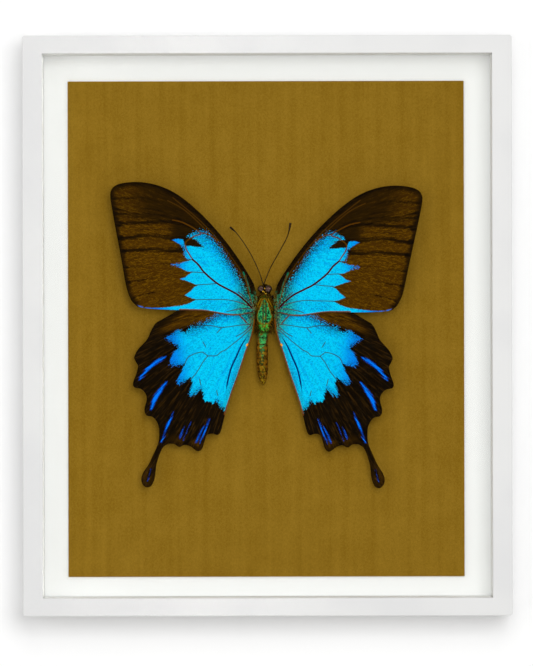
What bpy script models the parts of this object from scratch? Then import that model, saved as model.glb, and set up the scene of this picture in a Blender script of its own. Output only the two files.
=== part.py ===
"""A blue swallowtail butterfly, set with open wings, in a white wooden shadow-box frame.

The frame hangs on a wall. X runs to the viewer's right, Z up, and the front faces -Y. The origin is the
point on the wall where the nail carries the hanger, and the frame's back edge touches the wall at Y = 0.
Lengths below are in millimetres, and are turned into metres where an object is made.
"""

import math

import bmesh
import bpy
from mathutils import Vector
from mathutils.geometry import delaunay_2d_cdt

MM = 0.001
GAP = 0.3

# Frame: outer size, face widths and depth. The upright stiles are a little wider than the rails.
FRAME_WIDTH = 190.0
FRAME_HEIGHT = 225.4
FRAME_DEPTH = 30.0
STILE_WIDTH = 7.65
RAIL_WIDTH = 6.95
LIP_THICKNESS = 3.9
WALL_SHARE = 0.5
FRONT_EDGE_RADIUS = 0.7
HANGER_BELOW_TOP = 27.0

# Sheets in the rabbet, from the glass at the front to the panel at the back.
GLASS_THICKNESS = 2.0
SPACER_DEPTH = 14.0
BOARD_THICKNESS = 3.0
PANEL_THICKNESS = 2.5
CARD_THICKNESS = 0.6
CARD_WIDTH = 155.0
CARD_HEIGHT = 193.9
CARD_SHIFT_X = -0.5
CARD_SHIFT_Z = -1.25

# Steel points that hold the panel in, and the hanger with its rivets.
TAB_LENGTH = 9.0
TAB_WIDTH = 6.0
TAB_THICKNESS = 0.5
TAB_FROM_CORNER = 45.0
HANGER_LENGTH = 40.0
HANGER_HEIGHT = 8.0
HANGER_PLATE = 0.8
HANGER_BRIDGE = 27.0
HANGER_RAMP = 2.0
HANGER_RISE = 1.6
TOOTH_PITCH = 3.0
TOOTH_DEPTH = 1.6
TOOTH_COUNT = 8
RIVET_FOOT_RADIUS = 1.9
RIVET_TOP_RADIUS = 1.2
RIVET_HEIGHT = 0.8

# Butterfly: where its thorax sits in the frame, and how high it stands over the card.
THORAX_X = -1.1
THORAX_ABOVE_CENTRE = 5.1
THORAX_LIFT = 4.8
FOREWING_LIFT = 6.8
HINDWING_LIFT = 6.0
WING_THICKNESS = 0.3
VEIN_HEIGHT = 0.22
VEIN_HALF_WIDTH = 0.5
WING_RISE = 0.045
WING_DROOP = 0.0004
WING_ROOT = (4.0, 3.0)
RIGHT_FOREWING_TURN = -1.7
RIGHT_HINDWING_TURN = -0.4
PIN_RADIUS = 0.25
PIN_HOLE_RADIUS = 0.6
PIN_IN_BOARD = 2.2

# Depths from the wall, and heights from the hanging point, worked out from the sizes above.
LIP_BACK = FRAME_DEPTH - LIP_THICKNESS
GLASS_BACK = LIP_BACK - GAP - GLASS_THICKNESS
SPACER_BACK = GLASS_BACK - GAP - SPACER_DEPTH
BOARD_FRONT = SPACER_BACK - GAP
BOARD_BACK = BOARD_FRONT - BOARD_THICKNESS
PANEL_BACK = BOARD_BACK - GAP - PANEL_THICKNESS
CARD_FRONT = SPACER_BACK + CARD_THICKNESS
FRAME_MIDDLE = HANGER_BELOW_TOP - FRAME_HEIGHT / 2
STILE_WALL = STILE_WIDTH * WALL_SHARE
RAIL_WALL = RAIL_WIDTH * WALL_SHARE
THORAX_Z = FRAME_MIDDLE + THORAX_ABOVE_CENTRE
THORAX_DEPTH = CARD_FRONT + THORAX_LIFT

# Wing outlines and veins: distance out from the body's middle, and height above the thorax's middle.
FOREWING_OUTLINE = [
    (3.2, 6.2), (4.0, 9.3), (5.2, 12.4), (10.0, 20.2), (15.0, 27.2), (20.0, 33.2), (25.0, 38.4),
    (30.0, 43.1), (35.0, 46.8), (40.0, 49.1), (45.0, 50.4), (50.0, 50.8), (55.0, 50.4), (58.0, 49.4),
    (59.6, 47.8), (60.1, 45.0), (58.9, 37.5), (57.5, 30.0), (55.6, 20.0), (53.8, 10.0), (52.1, 5.2),
    (50.4, 3.0), (48.0, 1.8), (38.0, 1.0), (25.0, 0.7), (20.0, 0.0), (15.0, -0.9), (11.0, -1.1),
    (7.0, -0.4), (4.2, 0.6), (3.3, 2.8),
]
HINDWING_OUTLINE = [
    (3.8, 1.5), (6.0, 3.2), (14.0, 4.6), (24.0, 4.4), (31.0, 2.6), (36.0, -0.6), (40.0, -2.9),
    (42.6, -4.6), (44.4, -7.8), (45.8, -10.8), (49.2, -14.6), (50.7, -17.6), (50.1, -19.4),
    (49.3, -21.2), (49.9, -24.2), (51.1, -27.6), (50.6, -29.4), (48.2, -30.0), (46.4, -31.6),
    (45.7, -34.0), (46.6, -38.0), (45.8, -40.3), (43.2, -41.1), (41.3, -43.8), (40.9, -47.2),
    (41.7, -51.8), (43.3, -56.6), (45.6, -61.0), (47.6, -64.6), (47.7, -67.0), (46.0, -68.6),
    (44.0, -67.7), (42.6, -64.4), (42.0, -60.0), (40.8, -55.8), (39.4, -52.7), (37.2, -51.4),
    (34.9, -51.5), (33.0, -52.6), (30.9, -51.8), (28.6, -52.4), (26.0, -54.2), (24.2, -53.5),
    (23.1, -50.4), (22.2, -48.0), (20.2, -47.3), (18.0, -47.8), (16.8, -46.4), (15.6, -41.4),
    (14.2, -35.2), (12.7, -30.0), (11.0, -25.0), (9.2, -20.0), (7.2, -14.8), (5.3, -10.4),
    (4.2, -7.0), (3.7, -3.0),
]
FOREWING_VEINS = [
    [(5.2, 6.5), (10.0, 15.8), (17.0, 26.0), (25.0, 35.0), (36.0, 44.6)],
    [(5.2, 4.0), (7.5, 10.0), (11.5, 17.3), (16.0, 23.3), (20.5, 28.0), (25.3, 31.0)],
    [(16.0, 23.3), (22.0, 31.0), (31.0, 39.6), (45.0, 47.6)],
    [(25.3, 31.0), (34.0, 38.0), (45.0, 43.6), (57.0, 47.4)],
    [(25.3, 31.0), (31.5, 34.4), (38.0, 35.6), (50.0, 35.8), (57.2, 34.8)],
    [(25.3, 31.0), (27.5, 29.9), (29.8, 28.2), (30.7, 25.3)],
    [(29.8, 28.2), (35.0, 29.6), (45.0, 29.6), (56.0, 28.8)],
    [(30.7, 25.3), (36.0, 24.2), (46.0, 24.0), (55.0, 23.4)],
    [(5.6, 2.3), (9.0, 5.0), (14.0, 8.3), (19.0, 11.5), (23.7, 15.5), (28.5, 20.5), (30.7, 25.3)],
    [(28.5, 20.5), (31.5, 20.3), (42.0, 18.9), (54.0, 18.0)],
    [(23.7, 15.5), (28.8, 15.6), (42.0, 13.8), (53.4, 12.8)],
    [(19.0, 11.5), (27.0, 10.8), (42.0, 9.0), (52.0, 8.0)],
    [(5.6, 2.0), (10.0, 3.6), (15.0, 4.9), (27.0, 4.9), (40.0, 3.9), (49.0, 3.6)],
]
HINDWING_VEINS = [
    [(5.8, -4.6), (10.0, -5.0), (16.6, -5.9), (27.0, -5.5), (36.0, -8.0), (46.5, -13.6)],
    [(16.6, -5.9), (19.0, -8.0), (22.5, -11.3), (32.0, -14.0), (41.0, -17.2), (47.8, -20.6)],
    [(22.5, -11.3), (23.2, -15.4), (21.6, -17.2)],
    [(5.6, -6.0), (9.0, -8.6), (12.0, -12.0), (18.5, -16.6), (21.6, -17.2)],
    [(23.2, -15.4), (30.8, -20.2), (39.0, -26.6), (46.2, -32.8)],
    [(21.6, -17.2), (28.5, -25.6), (35.0, -35.0), (41.8, -42.6)],
    [(18.5, -16.6), (24.6, -29.6), (32.0, -41.0), (41.0, -53.0), (45.2, -66.4)],
    [(12.0, -12.0), (19.0, -33.0), (24.5, -45.0), (30.6, -51.0)],
    [(5.4, -7.4), (10.5, -14.5), (14.0, -26.0), (17.5, -38.0), (21.8, -46.6)],
]

# Head and thorax stations: height above the thorax's middle, half width, half depth and lean.
BODY_STATIONS = [
    (10.9, 0.6, 0.5, 0.3), (10.3, 1.5, 1.3, 0.3), (9.2, 2.1, 1.8, 0.3), (8.0, 2.2, 1.9, 0.3),
    (6.9, 1.6, 1.7, 0.2), (6.0, 2.3, 2.6, 0.0), (4.2, 3.0, 3.3, 0.0), (1.6, 3.4, 3.7, 0.0),
    (-1.4, 3.4, 3.7, 0.0), (-4.4, 2.9, 3.3, -0.1), (-6.6, 2.1, 2.4, -0.3),
]
BODY_SIDES = 14
THORAX_HALF_DEPTH = 3.7
ABDOMEN_TOP = -7.4
ABDOMEN_TIP = -28.3
ABDOMEN_SEGMENTS = 8
ABDOMEN_HALF_WIDTH = 2.4
ABDOMEN_LEAN = -0.7
GROOVE_SHARE = 0.93
EYE_RADIUS = 1.2
EYE_PLACES = {"left": (-1.25, 8.9), "right": (1.85, 8.9)}
ANTENNA_RADIUS = 0.25
CLUB_RADIUS = 0.5
CLUB_START = 0.7
ANTENNAE = {
    "left": [(-0.5, 10.9, 0.9), (-2.3, 16.4, 1.8), (-5.8, 23.6, 2.4), (-10.2, 30.2, 2.8), (-13.4, 33.4, 2.8)],
    "right": [(0.5, 10.9, 0.9), (2.8, 17.2, 1.8), (6.4, 24.4, 2.4), (9.0, 29.8, 2.8), (10.2, 35.0, 2.8)],
}
LEG_RADIUS = 0.32
LEG_ROOTS = {"front": (4.2, 2.6, 1), "middle": (0.8, 3.4, -1), "hind": (-2.6, 3.6, -1)}


def place(x, depth, z):
    """A point in metres, from millimetres across, out from the wall and up."""
    return Vector((x, -depth, z)) * MM


def clear_scene():
    for obj in list(bpy.data.objects):
        bpy.data.objects.remove(obj, do_unlink=True)


def new_collection(name):
    collection = bpy.data.collections.new(name)
    bpy.context.scene.collection.children.link(collection)
    return collection


def principled(name, colour, roughness, metallic=0.0, transmission=0.0):
    material = bpy.data.materials.new(name)
    material.use_nodes = True
    shader = material.node_tree.nodes["Principled BSDF"]
    shader.inputs["Base Color"].default_value = (*colour, 1.0)
    shader.inputs["Roughness"].default_value = roughness
    shader.inputs["Metallic"].default_value = metallic
    shader.inputs["Transmission Weight"].default_value = transmission
    material.diffuse_color = (*colour, 1.0)
    return material


def make_materials():
    return {
        "white_paint": principled("white_paint", (0.80, 0.80, 0.79), 0.45),
        "glass": principled("glass", (0.95, 0.98, 0.97), 0.02, transmission=1.0),
        "white_board": principled("white_board", (0.83, 0.83, 0.82), 0.8),
        "ochre_card": principled("ochre_card", (0.245, 0.138, 0.012), 0.75),
        "hardboard": principled("hardboard", (0.19, 0.11, 0.05), 0.8),
        "steel": principled("steel", (0.55, 0.55, 0.54), 0.35, metallic=1.0),
        "brass": principled("brass", (0.62, 0.46, 0.18), 0.35, metallic=1.0),
        "blue_wing": principled("blue_wing", (0.01, 0.22, 0.50), 0.45),
        "insect_body": principled("insect_body", (0.06, 0.05, 0.015), 0.7),
    }


def add_object(name, mesh, collection, material, location=(0, 0, 0), turn=0.0):
    """Puts a mesh in the scene, turned by this many degrees about the axis that faces the viewer."""
    obj = bpy.data.objects.new(name, mesh)
    collection.objects.link(obj)
    obj.location = location
    obj.rotation_euler = (0, math.radians(turn), 0)
    mesh.materials.clear()
    mesh.materials.append(material)
    return obj


def add_cutter(name, mesh, helpers, location=(0, 0, 0)):
    """Puts a helper solid in the scene, drawn as a wire and left out of renders."""
    obj = bpy.data.objects.new(name, mesh)
    helpers.objects.link(obj)
    obj.location = location
    obj.hide_render = True
    obj.display_type = "WIRE"
    return obj


def combine(obj, operation, other):
    modifier = obj.modifiers.new(other.name, "BOOLEAN")
    modifier.operation = operation
    modifier.object = other
    modifier.solver = "EXACT"


def mesh_from(bm, name, smooth=False):
    bmesh.ops.recalc_face_normals(bm, faces=bm.faces)
    mesh = bpy.data.meshes.new(name)
    bm.to_mesh(mesh)
    bm.free()
    if smooth:
        mesh.shade_smooth()
        mesh.set_sharp_from_angle(angle=math.radians(40))
    return mesh


def box_mesh(name, width, depth, height):
    """A box of this size, centred on its own origin."""
    bm = bmesh.new()
    bmesh.ops.create_cube(bm, size=1.0)
    bmesh.ops.scale(bm, vec=Vector((width, depth, height)) * MM, verts=bm.verts)
    return mesh_from(bm, name)


def cylinder_mesh(name, radius, length, sides, front_radius=None):
    """A cylinder or cone along the depth, centred on its own origin."""
    front_radius = radius if front_radius is None else front_radius
    bm = bmesh.new()
    bmesh.ops.create_cone(
        bm, cap_ends=True, segments=sides, depth=length * MM, radius1=radius * MM, radius2=front_radius * MM
    )
    for vert in bm.verts:
        vert.co = Vector((vert.co.x, -vert.co.z, vert.co.y))
    return mesh_from(bm, name, smooth=True)


def extruded_mesh(name, outline, along):
    """A solid from a flat outline of points, pushed along this vector."""
    bm = bmesh.new()
    face = bm.faces.new([bm.verts.new(point) for point in outline])
    made = bmesh.ops.extrude_face_region(bm, geom=[face])
    pushed = [item for item in made["geom"] if isinstance(item, bmesh.types.BMVert)]
    bmesh.ops.translate(bm, vec=along, verts=pushed)
    return mesh_from(bm, name)


def frame_profile():
    """The moulding's section: share of the face width from its outer side, and depth out from the wall."""
    radius = FRONT_EDGE_RADIUS
    face = (STILE_WIDTH + RAIL_WIDTH) / 2
    outer = []
    for degrees in (0, 30, 60, 90):
        angle = math.radians(degrees)
        outer.append((radius * (1 - math.cos(angle)) / face, FRAME_DEPTH - radius * (1 - math.sin(angle))))
    inner = [(1 - share, depth) for share, depth in reversed(outer)]
    return [(0, 0), *outer, *inner, (1, LIP_BACK), (WALL_SHARE, LIP_BACK), (WALL_SHARE, 0)]


def moulding_mesh(name, length, own_width, mate_width):
    """A length of moulding along X, its outer side up, mitred at both ends to meet its neighbours."""
    bm = bmesh.new()
    ends = []
    for side in (-1, 1):
        ring = []
        for share, depth in frame_profile():
            reach = length / 2 - share * mate_width - GAP / 2
            ring.append(bm.verts.new(place(side * reach, depth, -share * own_width)))
        ends.append(bm.faces.new(ring))
    bmesh.ops.bridge_loops(bm, edges=[edge for face in ends for edge in face.edges])
    return mesh_from(bm, name)


def add_frame(parts, paint):
    """The four mitred lengths of moulding."""
    half_width = FRAME_WIDTH / 2
    half_height = FRAME_HEIGHT / 2
    rail = moulding_mesh("rail", FRAME_WIDTH, RAIL_WIDTH, STILE_WIDTH)
    stile = moulding_mesh("stile", FRAME_HEIGHT, STILE_WIDTH, RAIL_WIDTH)
    add_object("frame_rail_top", rail, parts, paint, place(0, 0, FRAME_MIDDLE + half_height))
    add_object("frame_rail_bottom", rail, parts, paint, place(0, 0, FRAME_MIDDLE - half_height), 180)
    add_object("frame_stile_right", stile, parts, paint, place(half_width, 0, FRAME_MIDDLE), 90)
    add_object("frame_stile_left", stile, parts, paint, place(-half_width, 0, FRAME_MIDDLE), -90)


def add_sheet(name, size, back, thickness, centre, parts, material):
    """A flat sheet parallel to the wall, whose back face is this far out from it."""
    mesh = box_mesh(name, size[0], thickness, size[1])
    return add_object(name, mesh, parts, material, place(centre[0], back + thickness / 2, centre[1]))


def add_filling(parts, helpers, materials):
    """Glass, spacer strips, white board, ochre card and back panel, all held in the rabbet."""
    inside = (FRAME_WIDTH - 2 * (STILE_WALL + GAP), FRAME_HEIGHT - 2 * (RAIL_WALL + GAP))
    centre = (0, FRAME_MIDDLE)
    white = materials["white_board"]
    add_sheet("glass", inside, GLASS_BACK, GLASS_THICKNESS, centre, parts, materials["glass"])
    board = add_sheet("mount_board", inside, BOARD_BACK, BOARD_THICKNESS, centre, parts, white)
    add_sheet("back_panel", inside, PANEL_BACK, PANEL_THICKNESS, centre, parts, materials["hardboard"])
    card = add_sheet("ochre_card", (CARD_WIDTH, CARD_HEIGHT), SPACER_BACK, CARD_THICKNESS,
                     (CARD_SHIFT_X, FRAME_MIDDLE + CARD_SHIFT_Z), parts, materials["ochre_card"])
    across = (inside[0], RAIL_WIDTH - RAIL_WALL - GAP)
    upright = (STILE_WIDTH - STILE_WALL - GAP, inside[1] - 2 * (across[1] + GAP))
    for side, end, flank in ((-1, "bottom", "left"), (1, "top", "right")):
        end_centre = (0, FRAME_MIDDLE + side * (inside[1] - across[1]) / 2)
        flank_centre = (side * (inside[0] - upright[0]) / 2, FRAME_MIDDLE)
        add_sheet(f"spacer_{end}", across, SPACER_BACK, SPACER_DEPTH, end_centre, parts, white)
        add_sheet(f"spacer_{flank}", upright, SPACER_BACK, SPACER_DEPTH, flank_centre, parts, white)
    hole_back = BOARD_FRONT - PIN_IN_BOARD - GAP
    hole_length = CARD_FRONT - hole_back + GAP
    hole = cylinder_mesh("pin_hole", PIN_HOLE_RADIUS, hole_length, 12)
    cutter = add_cutter("pin_hole", hole, helpers, place(THORAX_X, hole_back + hole_length / 2, THORAX_Z))
    combine(card, "DIFFERENCE", cutter)
    combine(board, "DIFFERENCE", cutter)


def add_tabs(parts, steel):
    """Flat steel points, driven into the rabbet's wall, that hold the back panel in."""
    back = PANEL_BACK - GAP - TAB_THICKNESS
    outline = [(-0.5, 0.0), (0.5, 0.0), (0.5, -0.75), (0.28, -1.0), (-0.28, -1.0), (-0.5, -0.75)]
    flat = [place(across * TAB_WIDTH, 0, along * TAB_LENGTH) for across, along in outline]
    mesh = extruded_mesh("back_tab", flat, place(0, TAB_THICKNESS, 0))
    wall_x = FRAME_WIDTH / 2 - STILE_WALL - GAP
    wall_z = FRAME_HEIGHT / 2 - RAIL_WALL - GAP
    along_x = FRAME_WIDTH / 2 - TAB_FROM_CORNER
    along_z = FRAME_HEIGHT / 2 - TAB_FROM_CORNER
    spots = []
    for side in (-1, 1):
        for end in (-1, 1):
            spots.append((end * along_x, side * wall_z, 0 if side > 0 else 180))
            spots.append((side * wall_x, end * along_z, side * 90))
    for number, (x, z, turn) in enumerate(spots, start=1):
        add_object(f"back_tab_{number}", mesh.copy(), parts, steel, place(x, back, FRAME_MIDDLE + z), turn)


def saw_teeth_mesh(depth):
    """The cutter for the hanger's lower edge: a comb whose gaps leave the teeth."""
    half = TOOTH_COUNT / 2 * TOOTH_PITCH
    below = -2 * TOOTH_DEPTH
    comb = [(-half, below)]
    for tooth in range(TOOTH_COUNT):
        left = tooth * TOOTH_PITCH - half
        comb += [(left, -TOOTH_DEPTH), (left + TOOTH_PITCH / 2, 0)]
    comb += [(half, -TOOTH_DEPTH), (half, below)]
    return extruded_mesh("saw_teeth", [place(x, 0, z) for x, z in comb], place(0, depth, 0))


def add_hanger(parts, helpers, materials):
    """A bent steel strip with saw teeth along its lower edge, riveted to the back panel at both ends."""
    foot_back = PANEL_BACK - GAP - HANGER_PLATE
    half = HANGER_LENGTH / 2
    bridge = HANGER_BRIDGE / 2
    foot = bridge + HANGER_RAMP
    bends = [(-half, 0), (-foot, 0), (-bridge, -HANGER_RISE), (bridge, -HANGER_RISE), (foot, 0), (half, 0)]
    section = bends + [(x, depth + HANGER_PLATE) for x, depth in reversed(bends)]
    flat = [place(x, foot_back + depth, -TOOTH_DEPTH) for x, depth in section]
    strip = extruded_mesh("sawtooth_hanger", flat, place(0, 0, HANGER_HEIGHT))
    hanger = add_object("sawtooth_hanger", strip, parts, materials["steel"])
    cutter = add_cutter("saw_teeth", saw_teeth_mesh(PANEL_BACK), helpers)
    combine(hanger, "DIFFERENCE", cutter)
    rivet = cylinder_mesh("rivet", RIVET_TOP_RADIUS, RIVET_HEIGHT, 16, RIVET_FOOT_RADIUS)
    rivet_depth = foot_back - GAP - RIVET_HEIGHT / 2
    rivet_z = HANGER_HEIGHT / 2 - TOOTH_DEPTH
    for side, name in ((-1, "left"), (1, "right")):
        spot = place(side * (half + foot) / 2, rivet_depth, rivet_z)
        add_object(f"hanger_rivet_{name}", rivet.copy(), parts, materials["brass"], spot)


def curve_through(points, steps, closed):
    """Points along a smooth curve that passes through the given ones."""
    count = len(points)
    made = []
    for index in range(count if closed else count - 1):
        near = []
        for shift in (-1, 0, 1, 2):
            wanted = (index + shift) % count if closed else min(max(index + shift, 0), count - 1)
            near.append(Vector(points[wanted]))
        before, start, end, after = near
        for step in range(steps):
            t = step / steps
            bend = 2 * before - 5 * start + 4 * end - after
            twist = 3 * start - before - 3 * end + after
            made.append(start + ((end - before) * t + bend * t**2 + twist * t**3) / 2)
    if not closed:
        made.append(Vector(points[-1]))
    return made


def distance_to_line(point, line):
    """The distance from a point to a line of straight stretches."""
    nearest = math.inf
    for start, end in zip(line, line[1:]):
        along = end - start
        share = max(0.0, min(1.0, (point - start).dot(along) / along.length_squared))
        nearest = min(nearest, (point - start - along * share).length)
    return nearest


def beside(line, offset):
    """The line shifted sideways by this much."""
    made = []
    for index, point in enumerate(line):
        along = line[min(index + 1, len(line) - 1)] - line[max(index - 1, 0)]
        made.append(point + Vector((-along.y, along.x)).normalized() * offset)
    return made


def is_inside(point, outline):
    """Whether a point lies inside a closed outline, by counting the sides to its right."""
    inside = False
    for a, b in zip(outline, outline[1:] + outline[:1]):
        if (a.y > point.y) != (b.y > point.y):
            inside ^= point.x < a.x + (point.y - a.y) / (b.y - a.y) * (b.x - a.x)
    return inside


def wing_rise(flat):
    """How far forward of its root the set wing stands: it rises outward and droops to its tips."""
    return WING_RISE * flat.x - WING_DROOP * flat.y**2


def wing_mesh(name, outline_points, vein_points, side, turn):
    """The wing as an open sheet, turned about its root, with a ridge along every vein."""
    outline = curve_through(outline_points, 2, closed=True)
    veins = [[Vector(point) for point in vein] for vein in vein_points]
    points = list(outline)
    edges = [(index, (index + 1) % len(outline)) for index in range(len(outline))]
    for vein in veins:
        for line in (vein, beside(vein, VEIN_HALF_WIDTH), beside(vein, -VEIN_HALF_WIDTH)):
            first = len(points)
            points += [point for point in line if is_inside(point, outline)]
            edges += [(index, index + 1) for index in range(first, len(points) - 1)]
    flats, _, faces, *_ = delaunay_2d_cdt(points, edges, [list(range(len(outline)))], 1, 0.05)
    root = Vector(WING_ROOT)
    cosine, sine = math.cos(math.radians(turn)), math.sin(math.radians(turn))
    bm = bmesh.new()
    verts = []
    for flat in flats:
        ridge = max(0.0, 1 - min(distance_to_line(flat, vein) for vein in veins) / VEIN_HALF_WIDTH)
        arm = flat - root
        out = root.x + arm.x * cosine - arm.y * sine
        up = root.y + arm.x * sine + arm.y * cosine
        verts.append(bm.verts.new(place(side * out, wing_rise(flat) + VEIN_HEIGHT * ridge, up)))
    for face in faces:
        bm.faces.new([verts[index] for index in face])
    bmesh.ops.triangulate(bm, faces=bm.faces)
    return mesh_from(bm, name, smooth=True)


def add_wings(parts, material):
    for side, side_name in ((-1, "left"), (1, "right")):
        for name, outline, veins, lift, right_turn in (
            ("forewing", FOREWING_OUTLINE, FOREWING_VEINS, FOREWING_LIFT, RIGHT_FOREWING_TURN),
            ("hindwing", HINDWING_OUTLINE, HINDWING_VEINS, HINDWING_LIFT, RIGHT_HINDWING_TURN),
        ):
            mesh = wing_mesh(name, outline, veins, side, right_turn if side > 0 else 0.0)
            spot = place(THORAX_X, CARD_FRONT + lift, THORAX_Z)
            wing = add_object(f"{name}_{side_name}", mesh, parts, material, spot)
            thick = wing.modifiers.new("thickness", "SOLIDIFY")
            thick.thickness = WING_THICKNESS * MM
            thick.offset = 0.0


def body_rings():
    """Stations from head to tip. The abdomen swells, tapers to a point and is grooved between segments."""
    rings = list(BODY_STATIONS)
    count = ABDOMEN_SEGMENTS * 2
    for ring in range(count):
        share = ring / count
        swell = 0.86 + 0.14 * min(1.0, share / 0.3)
        taper = math.sqrt(1 - (max(0.0, share - 0.35) / 0.68) ** 2)
        groove = GROOVE_SHARE if ring % 2 == 0 else 1.0
        half_width = ABDOMEN_HALF_WIDTH * swell * taper * groove
        up = ABDOMEN_TOP + share * (ABDOMEN_TIP - ABDOMEN_TOP)
        rings.append((up, half_width, half_width * 1.05, ABDOMEN_LEAN * min(1.0, share * 2)))
    rings.append((ABDOMEN_TIP, 0.25, 0.25, ABDOMEN_LEAN))
    return rings


def body_mesh():
    """Head, thorax and abdomen in one skin, lofted through elliptical rings."""
    bm = bmesh.new()
    loops = []
    for up, half_width, half_depth, lean in body_rings():
        loop = []
        for index in range(BODY_SIDES):
            angle = 2 * math.pi * index / BODY_SIDES
            across = lean + half_width * math.cos(angle)
            loop.append(bm.verts.new(place(across, half_depth * math.sin(angle), up)))
        loops.append(loop)
    for upper, lower in zip(loops, loops[1:]):
        for index in range(BODY_SIDES):
            after = (index + 1) % BODY_SIDES
            bm.faces.new((upper[index], upper[after], lower[after], lower[index]))
    bm.faces.new(loops[0])
    bm.faces.new(loops[-1])
    return mesh_from(bm, "body", smooth=True)


def tube_mesh(name, points, radii):
    """A curve with a round section, turned into a closed mesh."""
    curve = bpy.data.curves.new(name, "CURVE")
    curve.dimensions = "3D"
    curve.bevel_depth = MM
    curve.bevel_resolution = 1
    curve.use_fill_caps = True
    spline = curve.splines.new("POLY")
    spline.points.add(len(points) - 1)
    for target, point, radius in zip(spline.points, points, radii):
        target.co = (*place(*point), 1.0)
        target.radius = radius
    holder = bpy.data.objects.new(name, curve)
    bpy.context.scene.collection.objects.link(holder)
    graph = bpy.context.evaluated_depsgraph_get()
    mesh = bpy.data.meshes.new_from_object(holder.evaluated_get(graph))
    bpy.data.objects.remove(holder)
    bm = bmesh.new()
    bm.from_mesh(mesh)
    bmesh.ops.remove_doubles(bm, verts=bm.verts, dist=0.01 * MM)
    return mesh_from(bm, name, smooth=True)


def eye_mesh(out, up):
    bm = bmesh.new()
    bmesh.ops.create_icosphere(bm, subdivisions=2, radius=EYE_RADIUS * MM)
    bmesh.ops.translate(bm, vec=place(out, 0.3, up), verts=bm.verts)
    return mesh_from(bm, "eye", smooth=True)


def leg_mesh(side, up, depth, lean):
    """A folded leg: out from the thorax's underside, over a knee, and back along the card."""
    floor = LEG_RADIUS + GAP - THORAX_LIFT
    path = [
        (side * 0.9, 1.2 - depth, up),
        (side * 1.5, -0.1 - depth, up + 0.6 * lean),
        (side * 3.3, floor + 0.5, up + 2.2 * lean),
        (side * 2.4, floor, up - 2.4 * lean),
        (side * 1.6, floor, up - 4.0),
    ]
    return tube_mesh("leg", path, [LEG_RADIUS * share for share in (1.3, 1.2, 1.0, 0.7, 0.55)])


def add_body(parts, helpers, material):
    """Head, thorax and abdomen, with the eyes and the six folded legs grown onto them."""
    spot = place(THORAX_X, THORAX_DEPTH, THORAX_Z)
    body = add_object("body", body_mesh(), parts, material, spot)
    for side, side_name in ((-1, "left"), (1, "right")):
        eye = eye_mesh(*EYE_PLACES[side_name])
        combine(body, "UNION", add_cutter(f"eye_{side_name}", eye, helpers, spot))
        for leg_name, (up, depth, lean) in LEG_ROOTS.items():
            leg = leg_mesh(side, up, depth, lean)
            combine(body, "UNION", add_cutter(f"leg_{leg_name}_{side_name}", leg, helpers, spot))


def add_antennae(parts, material):
    """Two thin stalks that thicken into clubs."""
    for side_name, path in ANTENNAE.items():
        line = curve_through([(out, depth, up) for out, up, depth in path], 2, closed=False)
        radii = []
        for index in range(len(line)):
            club = max(0.0, index / (len(line) - 1) - CLUB_START) / (1 - CLUB_START)
            radii.append(ANTENNA_RADIUS + (CLUB_RADIUS - ANTENNA_RADIUS) * club)
        mesh = tube_mesh("antenna", line, radii)
        spot = place(THORAX_X, THORAX_DEPTH, THORAX_Z)
        add_object(f"antenna_{side_name}", mesh, parts, material, spot)


def add_pin(parts, steel):
    """The short pin that carries the insect, from the board through the card to under the thorax."""
    front = THORAX_DEPTH - THORAX_HALF_DEPTH - GAP
    back = BOARD_FRONT - PIN_IN_BOARD
    mesh = cylinder_mesh("mounting_pin", PIN_RADIUS, front - back, 10)
    add_object("mounting_pin", mesh, parts, steel, place(THORAX_X, (front + back) / 2, THORAX_Z))


def main():
    clear_scene()
    parts = new_collection("framed_butterfly_specimen")
    helpers = new_collection("cutters")
    materials = make_materials()
    add_frame(parts, materials["white_paint"])
    add_filling(parts, helpers, materials)
    add_tabs(parts, materials["steel"])
    add_hanger(parts, helpers, materials)
    add_body(parts, helpers, materials["insect_body"])
    add_antennae(parts, materials["insect_body"])
    add_wings(parts, materials["blue_wing"])
    add_pin(parts, materials["steel"])


main()
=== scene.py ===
# %% [markdown]
# # A blue swallowtail in a white shadow box
#
# This lesson dresses a framed butterfly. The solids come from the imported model, already at their real
# size and in their real place, and each step below gives one piece its final surface. Lengths are in
# millimetres until a mesh is made, because that is how a framer and an insect setter both think.

# %% Load the model
import math

import bmesh
import bpy
import numpy as np
from mathutils import Matrix, Vector
from mathutils.geometry import delaunay_2d_cdt


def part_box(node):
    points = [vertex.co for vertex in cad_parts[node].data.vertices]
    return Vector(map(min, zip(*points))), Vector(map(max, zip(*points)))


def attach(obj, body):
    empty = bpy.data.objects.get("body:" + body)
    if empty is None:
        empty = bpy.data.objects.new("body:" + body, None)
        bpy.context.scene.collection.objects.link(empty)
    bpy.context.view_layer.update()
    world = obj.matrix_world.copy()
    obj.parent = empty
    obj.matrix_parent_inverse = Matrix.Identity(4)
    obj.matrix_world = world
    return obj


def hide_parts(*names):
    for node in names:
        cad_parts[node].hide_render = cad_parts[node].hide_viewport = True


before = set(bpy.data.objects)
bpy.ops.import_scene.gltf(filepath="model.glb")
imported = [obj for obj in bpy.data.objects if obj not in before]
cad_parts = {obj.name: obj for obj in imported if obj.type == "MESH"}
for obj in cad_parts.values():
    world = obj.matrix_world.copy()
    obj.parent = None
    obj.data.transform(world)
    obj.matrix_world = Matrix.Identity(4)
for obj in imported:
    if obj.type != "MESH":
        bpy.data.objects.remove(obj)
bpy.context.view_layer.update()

MM = 0.001

# %% [markdown]
# ## Read the sizes that everything else hangs on
#
# Nothing is measured twice. The frame's face, the glass and the card are nodes of the model, so their
# boxes give the numbers. The mounting pin stands under the middle of the thorax, and that point is the
# origin of all the wing drawings: *out* from the body's middle line, *up* from the thorax's middle.

# %% Sizes from the model
def node_box_mm(node):
    low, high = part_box(node)
    return np.array(low) / MM, np.array(high) / MM


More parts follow.
